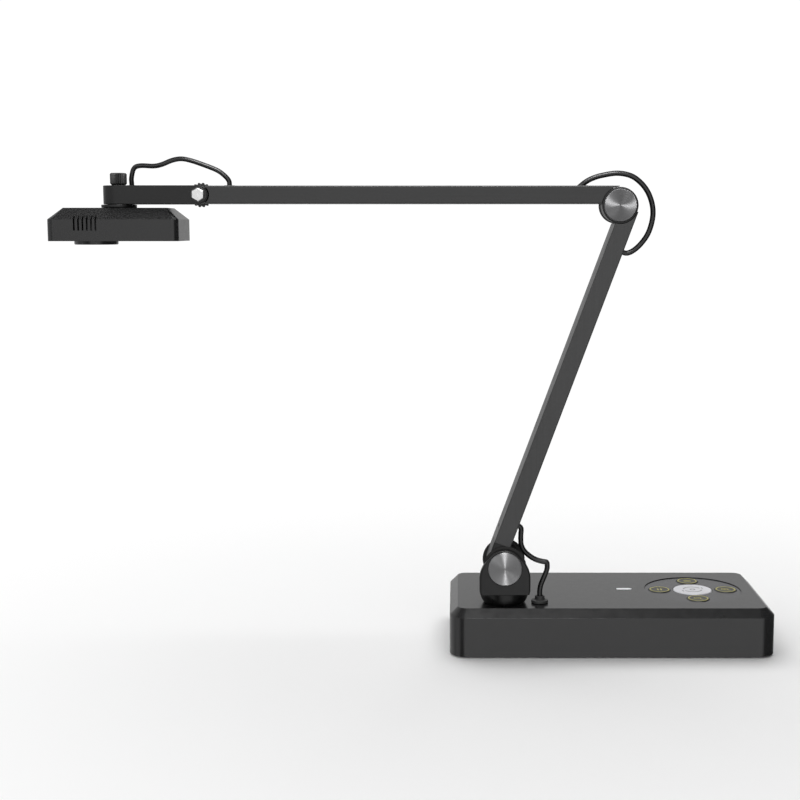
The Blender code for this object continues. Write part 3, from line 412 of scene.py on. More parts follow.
def lathe(profile, points=FINE):
    """A body turned about Z from a closed (radius, height) profile, with a map that runs round and along."""
    shape = bmesh.new()
    around = shape.loops.layers.uv.new("turned")
    rows, walked, distance = [], [], 0.0
    for i, (radius, height) in enumerate(profile):
        if i:
            distance += (Vector(profile[i]) - Vector(profile[i - 1])).length
        walked.append(distance)
        if radius < 1e-7:
            rows.append([shape.verts.new((0, 0, height))] * points)
            continue
        turns = [2 * math.pi * n / points for n in range(points)]
        rows.append([shape.verts.new((radius * math.cos(t), radius * math.sin(t), height)) for t in turns])
    distance += (Vector(profile[0]) - Vector(profile[-1])).length
    pairs = list(zip(range(len(rows)), [*range(1, len(rows)), 0]))
    for lower, upper in pairs:
        ends = (walked[lower], walked[upper] if upper else distance)
        for n in range(points):
            after = (n + 1) % points
            spots = [(lower, n, 0, 0), (lower, after, 1, 0), (upper, after, 1, 1), (upper, n, 0, 1)]
            corners, marks = [], []
            for row, place, step, end in spots:
                vertex = rows[row][place]
                if vertex not in corners:
                    corners.append(vertex)
                    marks.append(((n + step) / points, ends[end]))
            if len(corners) < 3:
                continue
            face = shape.faces.new(corners)
            for corner, mark in zip(face.loops, marks):
                corner[around].uv = mark
    return shape


def turned(profile, soft, where, points=FINE, steps=4):
    """A body turned from (radius, height) points in millimetres, its corners rounded by soft millimetres."""
    return placed(lathe(filleted([(r * MM, z * MM) for r, z in profile], soft * MM, steps), points), where)


def rod(radius, low, high, points=COARSE):
    return lathe([(0, low), (radius, low), (radius, high), (0, high)], points)


def placed(shape, matrix):
    shape.transform(matrix)
    return shape


def at(place, *turns):
    """A matrix that turns by each (degrees, axis) in order, then moves to the place."""
    matrix = Matrix()
    for degrees, axis in turns:
        matrix = Matrix.Rotation(math.radians(degrees), 4, axis) @ matrix
    return Matrix.Translation(place) @ matrix


TO_FRONT = (90, "X")
TO_BACK = (-90, "X")


def pin(radius, low, high, place, points=COARSE):
    """A rod along Y between two distances from the place."""
    return placed(rod(radius, low, high, points), at(place, TO_BACK))


def middle_of(node):
    low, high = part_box(node)
    return (low + high) / 2


def tool_object(shape):
    mesh = bpy.data.meshes.new("tool")
    bmesh.ops.recalc_face_normals(shape, faces=shape.faces)
    shape.to_mesh(mesh)
    shape.free()
    made = bpy.data.objects.new("tool", mesh)
    SCENE.collection.objects.link(made)
    return made


def settled(piece, tools):
    """Applies the piece's modifiers to its mesh, and removes the shapes that cut or joined it."""
    graph = bpy.context.evaluated_depsgraph_get()
    mesh = bpy.data.meshes.new_from_object(piece.evaluated_get(graph))
    piece.modifiers.clear()
    old, piece.data = piece.data, mesh
    bpy.data.meshes.remove(old)
    mesh.name = piece.name
    for tool in tools:
        bpy.data.meshes.remove(tool.data)


def build(name, shape, material, body, replaces=(), joins=(), cuts=(), bevel=0.0, segments=3):
    """A finished piece: the shape with others joined to it and cut from it, its edges rounded."""
    piece = tool_object(shape)
    piece.name = name
    tools = []
    for operation, group in (("UNION", joins), ("DIFFERENCE", cuts)):
        for other in group:
            tools.append(tool_object(other))
            modifier = piece.modifiers.new(operation, "BOOLEAN")
            modifier.operation = operation
            modifier.solver = "EXACT"
            modifier.object = tools[-1]
    if bevel:
        modifier = piece.modifiers.new("Rounded edges", "BEVEL")
        modifier.width = bevel
        modifier.segments = segments
        modifier.limit_method = "ANGLE"
        modifier.angle_limit = math.radians(38)
    if tools or bevel:
        settled(piece, tools)
    piece.data.materials.clear()
    piece.data.materials.append(material)
    piece.data.shade_smooth()
    piece.data.set_sharp_from_angle(angle=math.radians(36))
    if bevel:
        normals = piece.modifiers.new("Flat faces stay flat", "WEIGHTED_NORMAL")
        normals.keep_sharp = True
    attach(piece, body)
    if replaces:
        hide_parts(*replaces)
    return piece


# --- camera and cables ---------------------------------------------------------------------------------


def make_camera():
    lens = bpy.data.cameras.new("camera")
    lens.lens = 61.65
    lens.sensor_width = 36
    lens.shift_x = -0.0725
    lens.clip_start = 0.01
    lens.clip_end = 60
    camera = bpy.data.objects.new("camera", lens)
    camera.location = Vector((-124.8, -1131.45, 343.5)) * MM
    camera.rotation_euler = (math.radians(90 - 7.155), 0, 0)
    SCENE.collection.objects.link(camera)
    SCENE.camera = camera


def smooth_route(points, spacing):
    """Points along one smooth curve through the given ones, about spacing apart."""
    ends = [2 * points[0] - points[1], *points, 2 * points[-1] - points[-2]]
    route = []
    for before, here, after, last in zip(ends, ends[1:], ends[2:], ends[3:]):
        steps = max(2, round((after - here).length / spacing))
        for step in range(steps):
            t = step / steps
            route.append(0.5 * (
                2 * here + (after - before) * t + (2 * before - 5 * here + 4 * after - last) * t ** 2
                + (3 * here - before - 3 * after + last) * t ** 3
            ))
    route.append(points[-1])
    return route


def cable(name, points, radius):
    """A cable's mesh along its curved route between two bodies."""
    route = smooth_route(points, 1.1 * MM)
    curve = bpy.data.curves.new(name, "CURVE")
    curve.dimensions = "3D"
    curve.bevel_depth = radius
    curve.bevel_resolution = 5
    curve.use_fill_caps = True
    line = curve.splines.new("POLY")
    line.points.add(len(route) - 1)
    for point, place in zip(line.points, route):
        point.co = (*place, 1)
    guide = bpy.data.objects.new(name + "_guide", curve)
    SCENE.collection.objects.link(guide)
    graph = bpy.context.evaluated_depsgraph_get()
    mesh = bpy.data.meshes.new_from_object(guide.evaluated_get(graph))
    bpy.data.curves.remove(curve)
    shape = bmesh.new()
    shape.from_mesh(mesh)
    bpy.data.meshes.remove(mesh)
    bmesh.ops.remove_doubles(shape, verts=shape.verts, dist=0.00001)
    piece = tool_object(shape)
    piece.name = name
    piece.data.materials.clear()
    piece.data.materials.append(CABLE_BLACK)
    piece.data.shade_smooth()
    piece.data.set_sharp_from_angle(angle=math.radians(50))
    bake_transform(piece)
    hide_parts(name)
    piece.name = name + "_jacket"
    return piece, route


def in_plane(points, bend=lambda share: 0.0):
    """Route points in the arm's plane, moved along Y by bend(share of the way along)."""
    last = len(points) - 1
    return [Vector((x * MM, ARM_Y + bend(i / last), z * MM)) for i, (x, z) in enumerate(points)]


def fade(share, end):
    """Runs smoothly from 1 at the start to 0 at the end share."""
    left = max(0.0, 1 - share / end)
    return left * left * (3 - 2 * left)


def make_cables():
    head = in_plane(HEAD_CABLE, lambda share: 7.2 * MM * fade(share, 0.6))
    cable(
        "head_cable", head, HEAD_CABLE_RADIUS,
    )
    cable(
        "elbow_cable", in_plane(ELBOW_CABLE), ARM_CABLE_RADIUS,
    )
    cable(
        "shoulder_cable_upper", in_plane(SHOULDER_CABLE_UPPER), ARM_CABLE_RADIUS,
    )
    lower = in_plane(SHOULDER_CABLE_LOWER, lambda share: -3 * MM * (1 - fade(share, 0.85)))
    cable(
        "shoulder_cable_lower", lower, ARM_CABLE_RADIUS,
    )


# --- base ----------------------------------------------------------------------------------------------


def shell(half_x, half_y, low, high, corner, run, rise, wall):
    """A box without a floor, whose rounded walls lean in by run over the last rise of its height."""
    top = max(corner - run, 0.8 * MM)
    inner = corner - wall
    inner_top = max(inner - run, 0.8 * MM)
    rings = (
        (wall + run, high - wall, inner_top), (wall, high - wall - rise, inner), (wall, low, inner),
        (0, low, corner), (0, high - rise, corner), (run, high, top),
    )
    return loft([rounded_ring(half_x - inset, half_y - inset, radius, z) for inset, z, radius in rings])


def make_base():
    half = (BASE_HIGH - BASE_LOW) / 2
    panel_low, panel_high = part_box("control_panel")
    panel = (panel_low + panel_high) / 2
    recess = rod((panel_high.x - panel_low.x) / 2 + GAP, BASE_TOP - 2.4 * MM, BASE_TOP + MM, FINE * 2)
    status_low, status_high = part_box("status_lens")
    wide, deep, _ = status_high - status_low
    window = Vector((wide + 2 * GAP, deep + 2 * GAP, 10 * MM))
    status = (status_low + status_high) / 2
    cuts = [
        placed(recess, at((panel.x, panel.y, 0))),
        placed(rounded_block(window, 0.49 * window.y), at((status.x, status.y, BASE_TOP - 8 * MM))),
    ]
    for name in ("usb_port", "hdmi_port", "power_socket"):
        low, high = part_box(name)
        cuts.append(block(low - Vector((GAP, GAP, GAP)), high + Vector((GAP, 3 * MM, GAP))))
    cover = shell(half.x, half.y, BASE_LOW.z, BASE_TOP, BASE_CORNER, BASE_CHAMFER, BASE_CHAMFER, BASE_WALL)
    build("base_cover", cover, BASE_BLACK, "base", ["base_shell"], cuts=cuts, bevel=0.5 * MM)
    lens = rounded_block((wide, deep, 3 * MM), 1.95 * MM)
    build(
        "status_window", placed(lens, at((status.x, status.y, BASE_TOP - 2.7 * MM))), STATUS_WHITE, "base",
        ["status_lens"], bevel=0.25 * MM,
    )
    outlet = middle_of("cable_outlet")
    collar = [
        (3.9, 6), (4.1, 2.9), (6.7, 2.4), (7, 0.3), (3.6, 0.3), (3.6, -4.2), (2.4, -4.2), (2.4, 5), (2.9, 6),
    ]
    collar = turned(collar, 0.5, at((outlet.x, outlet.y, BASE_TOP)))
    build("cable_collar", collar, RUBBER, "base", ["cable_outlet"])
    make_ports()
    make_underside()


def make_ports():
    """Each port is a folded metal shell round a dark body, with a tongue and its contacts."""
    for name in ("usb_port", "hdmi_port"):
        low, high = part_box(name)
        rim = 0.7 * MM
        inner = block(low + Vector((rim, 5 * MM, rim)), high + Vector((-rim, MM, -rim)))
        outside = block(low, high)
        build(
            name + "_shell", outside, PORT_STEEL, "base", [name], cuts=[inner],
            bevel=0.3 * MM,
        )
        middle = (low + high) / 2
        reach = (high.x - low.x) / 2 - 2.6 * MM
        tongue = block(
            (middle.x - reach, low.y + 4.8 * MM, middle.z),
            (middle.x + reach, high.y - 1.6 * MM, middle.z + 1.6 * MM),
        )
        build(name + "_tongue", tongue, KEY_BLACK, "base", bevel=0.2 * MM)
        count = 4 if name == "usb_port" else 9
        pitch = 2 * reach / count
        for i in range(count):
            x = middle.x + (i - (count - 1) / 2) * pitch
            strip = block(
                (x - 0.32 * pitch, low.y + 5.5 * MM, middle.z - 0.18 * MM),
                (x + 0.32 * pitch, high.y - 2.4 * MM, middle.z + 0.05 * MM),
            )
            contact = f"{name}_contact_{i + 1}"
            build(contact, strip, CONTACT_GOLD, "base", bevel=0.04 * MM, segments=1)
    low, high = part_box("power_socket")
    middle = (low + high) / 2
    face = Vector((middle.x, high.y, middle.z))
    build(
        "power_socket_body", block(low, high), KEY_BLACK, "base", ["power_socket"],
        cuts=[pin(2.9 * MM, -9 * MM, MM, face, FINE)], bevel=0.3 * MM,
    )
    tip = turned([(0, -9.5), (0.9, -9.5), (0.9, -1), (0, -1)], 0.5, at(face, TO_BACK))
    build("power_socket_pin", tip, PORT_STEEL, "base")


def make_underside():
    low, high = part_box("base_plate")
    size = high - low
    screws = [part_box(f"plate_screw_{n}") for n in (1, 2, 3, 4)]
    seats = []
    for number, (near, far) in enumerate(screws, 1):
        x, y = (near.x + far.x) / 2, (near.y + far.y) / 2
        seats.append(placed(rod(3.7 * MM, -MM, 3.3 * MM), at((x, y, 0))))
        head = [(0, 1.5), (2.6, 1.5), (3.4, 2.1), (3.4, 2.9), (1.6, 3.0), (1.6, 12.8), (0, 12.8)]
        socket = placed(loft([polar_ring(lambda t: 1.7 * MM, z, 6) for z in (MM, 2.4 * MM)]), at((x, y, 0)))
        build(
            f"underside_screw_{number}", turned(head, 0.3, at((x, y, 0)), COARSE), PLAIN_STEEL, "base",
            [f"plate_screw_{number}"], cuts=[socket],
        )
    plate = rounded_block(size, 11.2 * MM, low.z)
    build(
        "underside_plate", plate, DARK_METAL, "base", ["base_plate"], cuts=seats,
        bevel=0.4 * MM,
    )
    mat, grooves = ribbed_mat(*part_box("anti_slip_mat"))
    build("ribbed_mat", mat, RUBBER, "base", ["anti_slip_mat"], cuts=grooves)


def ribbed_mat(low, high):
    """A mat with rounded corners, whose edge runs round a field of ribs that reach as low as it does."""
    size = high - low
    middle = (high + low) / 2
    mat = placed(rounded_block(size, MAT_EDGE, low.z), at((middle.x, middle.y, 0)))
    pitch, edge = 6 * MM, MAT_EDGE
    count = int((size.x - 2 * edge) / pitch)
    start = middle.x - (count - 1) / 2 * pitch
    grooves = [
        placed(
            rounded_block((2.4 * MM, size.y - 2 * edge, MM), 1.15 * MM, low.z - 0.5 * MM, 5),
            at((start + i * pitch, middle.y, 0)),
        )
        for i in range(count)
    ]
    return mat, grooves


# --- keypad --------------------------------------------------------------------------------------------


def inlay(name, shapes, key, material, top):
    """Thin raised marks on a key's face, given as flat shapes about the key's middle."""
    low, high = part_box(key)
    place = at(((low.x + high.x) / 2, (low.y + high.y) / 2, top))
    whole = bmesh.new()
    for shape in shapes:
        mesh = bpy.data.meshes.new("mark")
        placed(shape, place).to_mesh(mesh)
        shape.free()
        whole.from_mesh(mesh)
        bpy.data.meshes.remove(mesh)
    build(name, whole, material, key.replace("_button", "_key"))


def bar(length, width, x=0.0, y=0.0, turn=0.0):
    """A thin bar with round ends, for a symbol."""
    shape = rounded_block((length * MM, width * MM, 0.12 * MM), 0.49 * width * MM, -0.06 * MM, 5)
    return placed(shape, at((x * MM, y * MM, 0), (turn, "Z")))


def hoop(outer, inner, x=0.0, y=0.0, start=0, end=360):
    """A flat ring, or part of one between two angles in degrees, for a symbol."""
    if end - start == 360:
        profile = [(outer, -0.06), (outer, 0.06), (inner, 0.06), (inner, -0.06)]
        return placed(lathe([(r * MM, z * MM) for r, z in profile]), at((x * MM, y * MM, 0)))
    turns = [math.radians(start + (end - start) * i / 28) for i in range(29)]
    corners = ((outer, -0.06), (outer, 0.06), (inner, 0.06), (inner, -0.06))
    rings = [[Vector((r * math.cos(t), r * math.sin(t), z)) * MM for r, z in corners] for t in turns]
    return placed(loft(rings), at((x * MM, y * MM, 0)))


def magnifier(*marks):
    """A magnifying glass with a minus sign, and other marks beside it."""
    return [hoop(3.1, 2.4, -0.6, 0.6), bar(2.8, 0.7, -0.6, 0.6), bar(3, 0.9, 2.5, -2.5, -45), *marks]


SYMBOLS = {
    "menu_button": lambda: [bar(6.4, 0.9, 0, y) for y in (2, 0, -2)],
    "freeze_button": lambda: [bar(5.6, 1.3, x, 0, 90) for x in (-1.4, 1.4)],
    "zoom_out_button": magnifier,
    "zoom_in_button": lambda: magnifier(bar(1.0, 0.7, -0.6, 1.5, 90), bar(1.0, 0.7, -0.6, -0.3, 90)),
}


def make_keypad():
    low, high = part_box("control_panel")
    middle = (low + high) / 2
    holes = []
    for key in ("centre_button", *KEYS):
        key_low, key_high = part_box(key)
        centre = (key_low + key_high) / 2
        radius = (key_high.x - key_low.x) / 2
        place = at((centre.x, centre.y, 0))
        holes.append(placed(rod(radius + GAP, low.z - 4 * MM, high.z + MM, FINE), place))
        crown = key_high.z - KEY_SUNK
        edge, foot = 0.7 * MM, BASE_TOP - 1.6 * MM
        cap = [
            (0, foot), (radius, foot), (radius, crown - edge), (radius - edge, crown),
            (radius * 0.62, crown - 0.12 * MM), (0, crown - 0.18 * MM),
        ]
        wide = key == "centre_button"
        finish = (KEY_SILVER, "button_silver") if wide else (KEY_BLACK, "panel_black")
        cap = placed(lathe(filleted(cap, 0.6 * MM), FINE * 2), place)
        build(key + "_cap", cap, finish[0], key.replace("_button", "_key"), [key])
        if wide:
            continue
        ring = hoop(radius / MM - 0.9, radius / MM - 1.9)
        inlay(key + "_ring", [ring], key, KEY_GOLD, crown - 0.01 * MM)
        inlay(key + "_symbol", SYMBOLS[key](), key, KEY_GOLD, crown - 0.13 * MM)
    swirl = [
        hoop(8.2, 6.9, 0, 0, 30, 170), hoop(8.2, 6.9, 0, 0, 210, 350),
        bar(4, 1.2, 8.7, 4.2, 100), bar(4, 1.2, -8.7, -4.2, 100), hoop(2.4, 1.4),
    ]
    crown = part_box("centre_button")[1].z - KEY_SUNK
    inlay("centre_button_symbol", swirl, "centre_button", KEY_GREY, crown - 0.13 * MM)
    disc = rod((high.x - low.x) / 2, BASE_TOP - 2.3 * MM, BASE_TOP - PANEL_SUNK, FINE * 2)
    build(
        "keypad_panel", placed(disc, at((middle.x, middle.y, 0))), PANEL_BLACK, "base",
        ["control_panel"], cuts=holes, bevel=0.22 * MM,
    )


# --- turret and arms -----------------------------------------------------------------------------------


def prism(outline, low, high):
    """An outline of (x, z) points, drawn out along Y."""
    return loft([[Vector((x, y, z)) for x, z in outline] for y in (low, high)])


def fork_outline(y, inset, dome, drop, slim=0.0):
    """Sides that draw in a little at the foot, then slopes that run into a round top, all set in by inset."""
    half = FORK_WIDTH / 2 - 1.7 * inset - slim
    round_top = dome - inset
    low = BASE_TOP + GAP + TURNTABLE_HEIGHT - SHOULDER.z + slim
    touch = math.acos(round_top / half)
    turns = [touch + (math.pi - 2 * touch) * i / 30 for i in range(31)]
    top = [(round_top * math.cos(t), round_top * math.sin(t)) for t in turns]
    foot = half - 0.7 * MM
    corner, below = Vector((half, -drop)), Vector((half, -drop - FORK_SHOULDER))
    above = corner.lerp(Vector(top[0]), 0.75)
    turn = bowed(below, corner, above)
    turn_back = [Vector((-x, z)) for x, z in reversed(turn)]
    sides = [(foot, low), (half, low + 3 * MM), *turn, *top, *turn_back, (-half, low + 3 * MM), (-foot, low)]
    return [Vector((x, y, z)) for x, z in sides]


def make_turret():
    half = FORK_WIDTH / 2
    slot = TUBE_DEEP / 2 + GAP
    upright = at(SHOULDER)
    cuts = [
        placed(block((-40 * MM, -slot, -16.5 * MM), (40 * MM, slot, 40 * MM)), upright),
        pin(13.9 * MM, -half - 4 * MM, -half + 1.2 * MM, SHOULDER, FINE * 2),
        pin(AXLE_BORE, -30 * MM, 30 * MM, SHOULDER),
    ]
    turns = [math.pi / 16 * i for i in range(9)]
    edge = [(FORK_ROUND * (1 - math.cos(t)), FORK_ROUND * (1 - math.sin(t))) for t in turns]
    near = [fork_outline(-half + depth, inset, FORK_DOME, 0) for depth, inset in edge]
    near.append(fork_outline(-8 * MM, 0, FORK_DOME, 0))
    back = (BACK_DOME, BACK_DROP, GAP)
    far = [fork_outline(-8.5 * MM, 0, *back)]
    far += [fork_outline(half - depth, inset, *back) for depth, inset in reversed(edge)]
    build(
        "shoulder_fork", placed(loft(near), upright), FORK_BLACK, "turret", ["turntable_fork"],
        joins=[placed(loft(far), upright)], cuts=cuts, bevel=0.35 * MM,
    )
    top = TURNTABLE_HEIGHT / MM + 0.2
    bowl = [(0, 0), (16.6, 0), (18.4, 2.6), (19.6, 6), (20, top), (0, top)]
    bowl = turned(bowl, 1.4, at((SHOULDER.x, ARM_Y, BASE_TOP + GAP)), FINE * 2)
    build("turntable", bowl, FOOT_BLACK, "turret")
    make_disc("shoulder", "front", SHOULDER, half - 1.2 * MM, FRONT_CAP, SHOULDER_DISC, "turret")
    make_disc("shoulder", "back", SHOULDER, half, BACK_CAP, SHOULDER_DISC, "turret")
    # Painted shade: thin black washers on both faces of the barrel, a dark sheet that darkens the barrel's neck
    # where shadow falls between the fork's cheeks
    for side, turn in (("front", TO_FRONT), ("back", TO_BACK)):
        bore = AXLE_BORE / MM
        washer = [(bore, 15.04), (17.4, 15.04), (17.4, 15.26), (bore, 15.26)]
        washer = turned(washer, 0.05, at(SHOULDER, turn), FINE * 2, 2)
        build(f"painted_shade_washer_{side}", washer, FOOT_BLACK, "lower_arm")
    make_lower_arm()


def make_disc(joint, side, centre, inner, radius, material, body):
    """The cap over an axle's end, with a turned face and a small chamfer."""
    wide = radius / MM
    cap = [(0, 0.3), (wide, 0.3), (wide, 1.6), (wide - 0.5, 2.1), (wide * 0.5, 2.14), (0, 2.16)]
    where = at(centre, TO_FRONT if side == "front" else TO_BACK) @ Matrix.Translation((0, 0, inner))
    build(
        f"{joint}_cap_{side}", turned(cap, 0.15, where, FINE * 2, 2), material, body,
        [f"{joint}_disc_{side}"],
    )


def tube(start, end):
    """A rectangular arm tube along Z, open at its ends."""
    half_x, half_y = TUBE_HIGH / 2, TUBE_DEEP / 2
    inner_x, inner_y = half_x - TUBE_WALL, half_y - TUBE_WALL
    rings = [
        rounded_ring(half_x, half_y, TUBE_EDGE, start, 5), rounded_ring(half_x, half_y, TUBE_EDGE, end, 5),
        rounded_ring(inner_x, inner_y, 0.4 * MM, end, 5), rounded_ring(inner_x, inner_y, 0.4 * MM, start, 5),
    ]
    return loft(rings, loop=True)


def grommet_ring(name, place, body, *turns):
    """A rubber ring whose low flange lies on a face, with its sleeve in the hole."""
    ring = [
        (3.3, -2.6), (2.4, -2.6), (2.4, 0.4), (2.8, 0.6), (3.9, 0.55), (4.3, 0.3), (4.3, 0.06), (3.3, 0.06),
    ]
    build(name + "_ring", turned(ring, 0.35, at(place, *turns)), RUBBER, body, [name])


def make_lower_arm():
    lean = (math.degrees(LEAN), "Y")
    frame_at = at(SHOULDER, lean)
    beside = frame_at @ Matrix.Translation((-TUBE_OFFSET, 0, 0))
    face = -TUBE_OFFSET + TUBE_HIGH / 2
    holes = []
    for name in ("lower_arm_grommet_bottom", "lower_arm_grommet_top"):
        height = (frame_at.inverted() @ middle_of(name)).z
        spot = frame_at @ Vector((face, 0, height))
        turns = ((90, "Y"), lean)
        holes.append(placed(rod(CABLE_HOLE, -4 * MM, 4 * MM), at(spot, *turns)))
        grommet_ring(name, spot, "lower_arm", *turns)
    slit = beside @ at((-TUBE_HIGH / 2 - 4 * MM, 0, 28 * MM), (90, "Y"))
    slit = placed(rounded_block((2.4 * MM, 8 * MM, 8 * MM), MM), slit)
    build(
        "lower_arm", placed(tube(LOWER_START, LOWER_LENGTH), beside), LOWER_ARM_BLACK, "lower_arm",
        ["lower_arm_tube"],
        cuts=[pin(CHEEK_RADIUS + GAP, -20 * MM, 20 * MM, ELBOW, FINE * 2), slit, *holes],
        bevel=0.25 * MM, segments=2,
    )
    deep = TUBE_DEEP / 2 - 0.4 * MM
    neck = loft([rounded_ring(TUBE_HIGH / 2, deep, TUBE_EDGE, z, 5) for z in (0, LOWER_START - GAP)])
    build(
        "shoulder_barrel", pin(12.8 * MM, -deep, deep, SHOULDER, FINE * 2), FORK_BLACK, "lower_arm",
        ["shoulder_knuckle"], joins=[placed(neck, beside)],
        cuts=[pin(AXLE_BORE, -30 * MM, 30 * MM, SHOULDER)], bevel=0.5 * MM,
    )
    plug = block((-5 * MM, -13 * MM, LOWER_LENGTH - 27 * MM), (5 * MM, 13 * MM, LOWER_LENGTH - 7 * MM))
    spans = ((8 * MM, 20 * MM), (-20 * MM, -8 * MM))
    sides = [pin(CHEEK_RADIUS + 0.4 * MM, low, high, ELBOW, FINE) for low, high in spans]
    build(
        "elbow_barrel", placed(plug, beside), FORK_BLACK, "lower_arm", ["elbow_tongue"],
        joins=[pin(13.5 * MM, -7.7 * MM, 7.7 * MM, ELBOW, FINE)], cuts=sides, bevel=0.3 * MM,
    )


def make_upper_arm():
    along = at(ELBOW + Vector((0, 0, TUBE_OFFSET)), (90, "Y"))
    start, end = TILT.x - ELBOW.x + 3 * MM, -0.8 * MM
    top = ELBOW.z + TUBE_OFFSET + TUBE_HIGH / 2
    holes = []
    for name in ("upper_arm_grommet_head", "upper_arm_grommet_elbow"):
        spot = Vector((middle_of(name).x, ARM_Y, top))
        holes.append(placed(rod(CABLE_HOLE, -4 * MM, 4 * MM), at(spot)))
        grommet_ring(name, spot, "upper_arm")
    cuts = [
        pin(CHEEK_RADIUS + GAP, -20 * MM, 20 * MM, ELBOW, FINE * 2),
        pin(8.6 * MM, -20 * MM, 20 * MM, TILT, FINE), pin(10.3 * MM, -3.4 * MM, 3.4 * MM, TILT, FINE), *holes,
    ]
    build(
        "upper_arm", placed(tube(start, end), along), UPPER_ARM_BLACK, "upper_arm",
        ["upper_arm_tube"], cuts=cuts, bevel=0.25 * MM, segments=2,
    )
    for side, turn in (("front", TO_FRONT), ("back", TO_BACK)):
        bore, rim = AXLE_BORE / MM, CHEEK_RADIUS / MM
        cheek = [(bore, 9.5), (rim, 9.5), (rim, 15), (bore, 15)]
        cheek = turned(cheek, 0.6, at(ELBOW, turn), FINE * 2)
        replaced = ["elbow_knuckle"] if side == "front" else []
        build(f"elbow_cheek_{side}", cheek, FORK_BLACK, "upper_arm", replaced)
    for side in ("front", "back"):
        make_disc("elbow", side, ELBOW, TUBE_DEEP / 2, ELBOW_CAP, ELBOW_DISC, "upper_arm")


# --- head ----------------------------------------------------------------------------------------------


def waved(radius, depth, lobes):
    """A radius that swings in and out by depth, with rounded crests."""
    return lambda turn: radius - depth / 2 + depth / 2 * math.cos(lobes * turn)


def round_end(radius, reach):
    """What cuts a beam along X to a round end about the Y axis: a block with a cylinder taken out of it."""
    arc = [Vector((math.cos(t), math.sin(t))) * radius for t in (math.radians(a) for a in range(-84, 85, 6))]
    low = arc[0] + 4 * (arc[0] - arc[1])
    high = arc[-1] + 4 * (arc[-1] - arc[-2])
    corners = ((high.x, reach), (reach, reach), (reach, -reach), (low.x, -reach))
    return prism([low, *arc, high, *corners], -reach, reach)


def make_bracket():
    deep, half = 12 * MM, 7.3 * MM
    hub = HUB - TILT
    room = 13.3 * MM
    hole = Vector((*middle_of("bracket_grommet").xy, TILT.z + half))
    end = half + MM
    turns = [math.pi / 2 + math.pi * i / 24 for i in range(25)]
    plan = [(hub.x + deep * math.cos(t), deep * math.sin(t)) for t in turns] + [(end, -deep), (end, deep)]
    beam = loft([[Vector((x, y, z)) for x, y in plan] for z in (-half, half)])
    build(
        "tilt_bracket", placed(beam, at(TILT)), FORK_BLACK, "head_arm", ["head_bracket"],
        cuts=[
            placed(round_end(half, 20 * MM), at(TILT)),
            placed(block((-room, -7.3 * MM, -20 * MM), (20 * MM, 7.3 * MM, 20 * MM)), at(TILT)),
            pin(3.2 * MM, -30 * MM, 30 * MM, TILT), placed(rod(AXLE_BORE, -20 * MM, 20 * MM), at(HUB)),
            placed(rod(CABLE_HOLE, -20 * MM, 20 * MM), at(hole)),
        ],
        bevel=0.6 * MM,
    )
    grommet_ring("bracket_grommet", hole, "head_arm")
    make_tilt_bolt(deep)
    wheel_half = 2.5 * MM
    steps = 18 * 8
    rings = [
        polar_ring(waved(9.7 * MM - inset, 1.3 * MM, 18), z, steps)
        for inset, z in ((0.5 * MM, -wheel_half), (0, -wheel_half + 0.5 * MM), (0, wheel_half - 0.5 * MM),
                         (0.5 * MM, wheel_half))
    ]
    build(
        "thumbwheel", placed(loft(rings), at(TILT, TO_BACK)), KNOB_BLACK, "tilt_wheel",
        ["tilt_thumbwheel"], cuts=[pin(3.2 * MM, -30 * MM, 30 * MM, TILT)],
    )


def make_tilt_bolt(deep):
    def six(flats, z):
        return polar_ring(lambda turn: flats / math.sqrt(3), z, 6)

    upright = (30, "Z")
    head = loft([six(flats * MM, deep + z * MM) for flats, z in ((9.4, 1.4), (9.4, 4.7), (8.5, 5.2))])
    build(
        "bolt_head", placed(head, at(TILT, upright, TO_FRONT)), BRIGHT_STEEL, "head_arm",
        ["tilt_bolt"], joins=[pin(3 * MM, -deep - 2 * MM, deep + 5 * MM, TILT)], bevel=0.25 * MM,
    )
    nut = loft([six(flats * MM, deep + z * MM) for flats, z in ((9.4, 0.3), (9.4, 3.8), (8.6, 4.2))])
    build(
        "bolt_nut", placed(nut, at(TILT, upright, TO_BACK)), BRIGHT_STEEL, "head_arm",
        ["tilt_nut"], cuts=[pin(3.1 * MM, -30 * MM, 30 * MM, TILT)], bevel=0.25 * MM,
    )
    where = at(TILT - Vector((0, deep, 0)), TO_FRONT)
    washer = turned([(3.2, 0.3), (6.2, 0.3), (6.2, 1.1), (3.2, 1.1)], 0.2, where)
    build("bolt_washer", washer, DARK_METAL, "head_arm", ["tilt_washer"])


def make_knob():
    low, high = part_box("pan_knob")
    steps = 22 * 8
    top = (high.z - low.z) / MM
    levels = ((1.2, 0), (0.5, 0.9), (0, 1.3), (0, top - 0.9), (0.5, top - 0.25), (1.1, top))
    rings = [polar_ring(waved(6.5 * MM - inset * MM, 0.75 * MM, 22), z * MM, steps) for inset, z in levels]
    where = at((HUB.x, ARM_Y, low.z))
    build(
        "knurled_knob", placed(loft(rings), where), KNOB_BLACK, "pan_lock", ["pan_knob"],
        cuts=[placed(rod(2.4 * MM, 8.6 * MM, 12 * MM), where)],
    )


def vent_slot(x):
    """A slot with round ends, through the front wall and into the slope."""
    cutter = rounded_block((1.3 * MM, 11.4 * MM, 8 * MM), 0.64 * MM, 0, 5)
    middle = Vector((x, -HEAD_SIZE.y / 2 + 5 * MM, 13.9 * MM))
    return placed(cutter, at(Vector((HUB.x, ARM_Y, HEAD_FLOOR)) + middle, TO_FRONT))


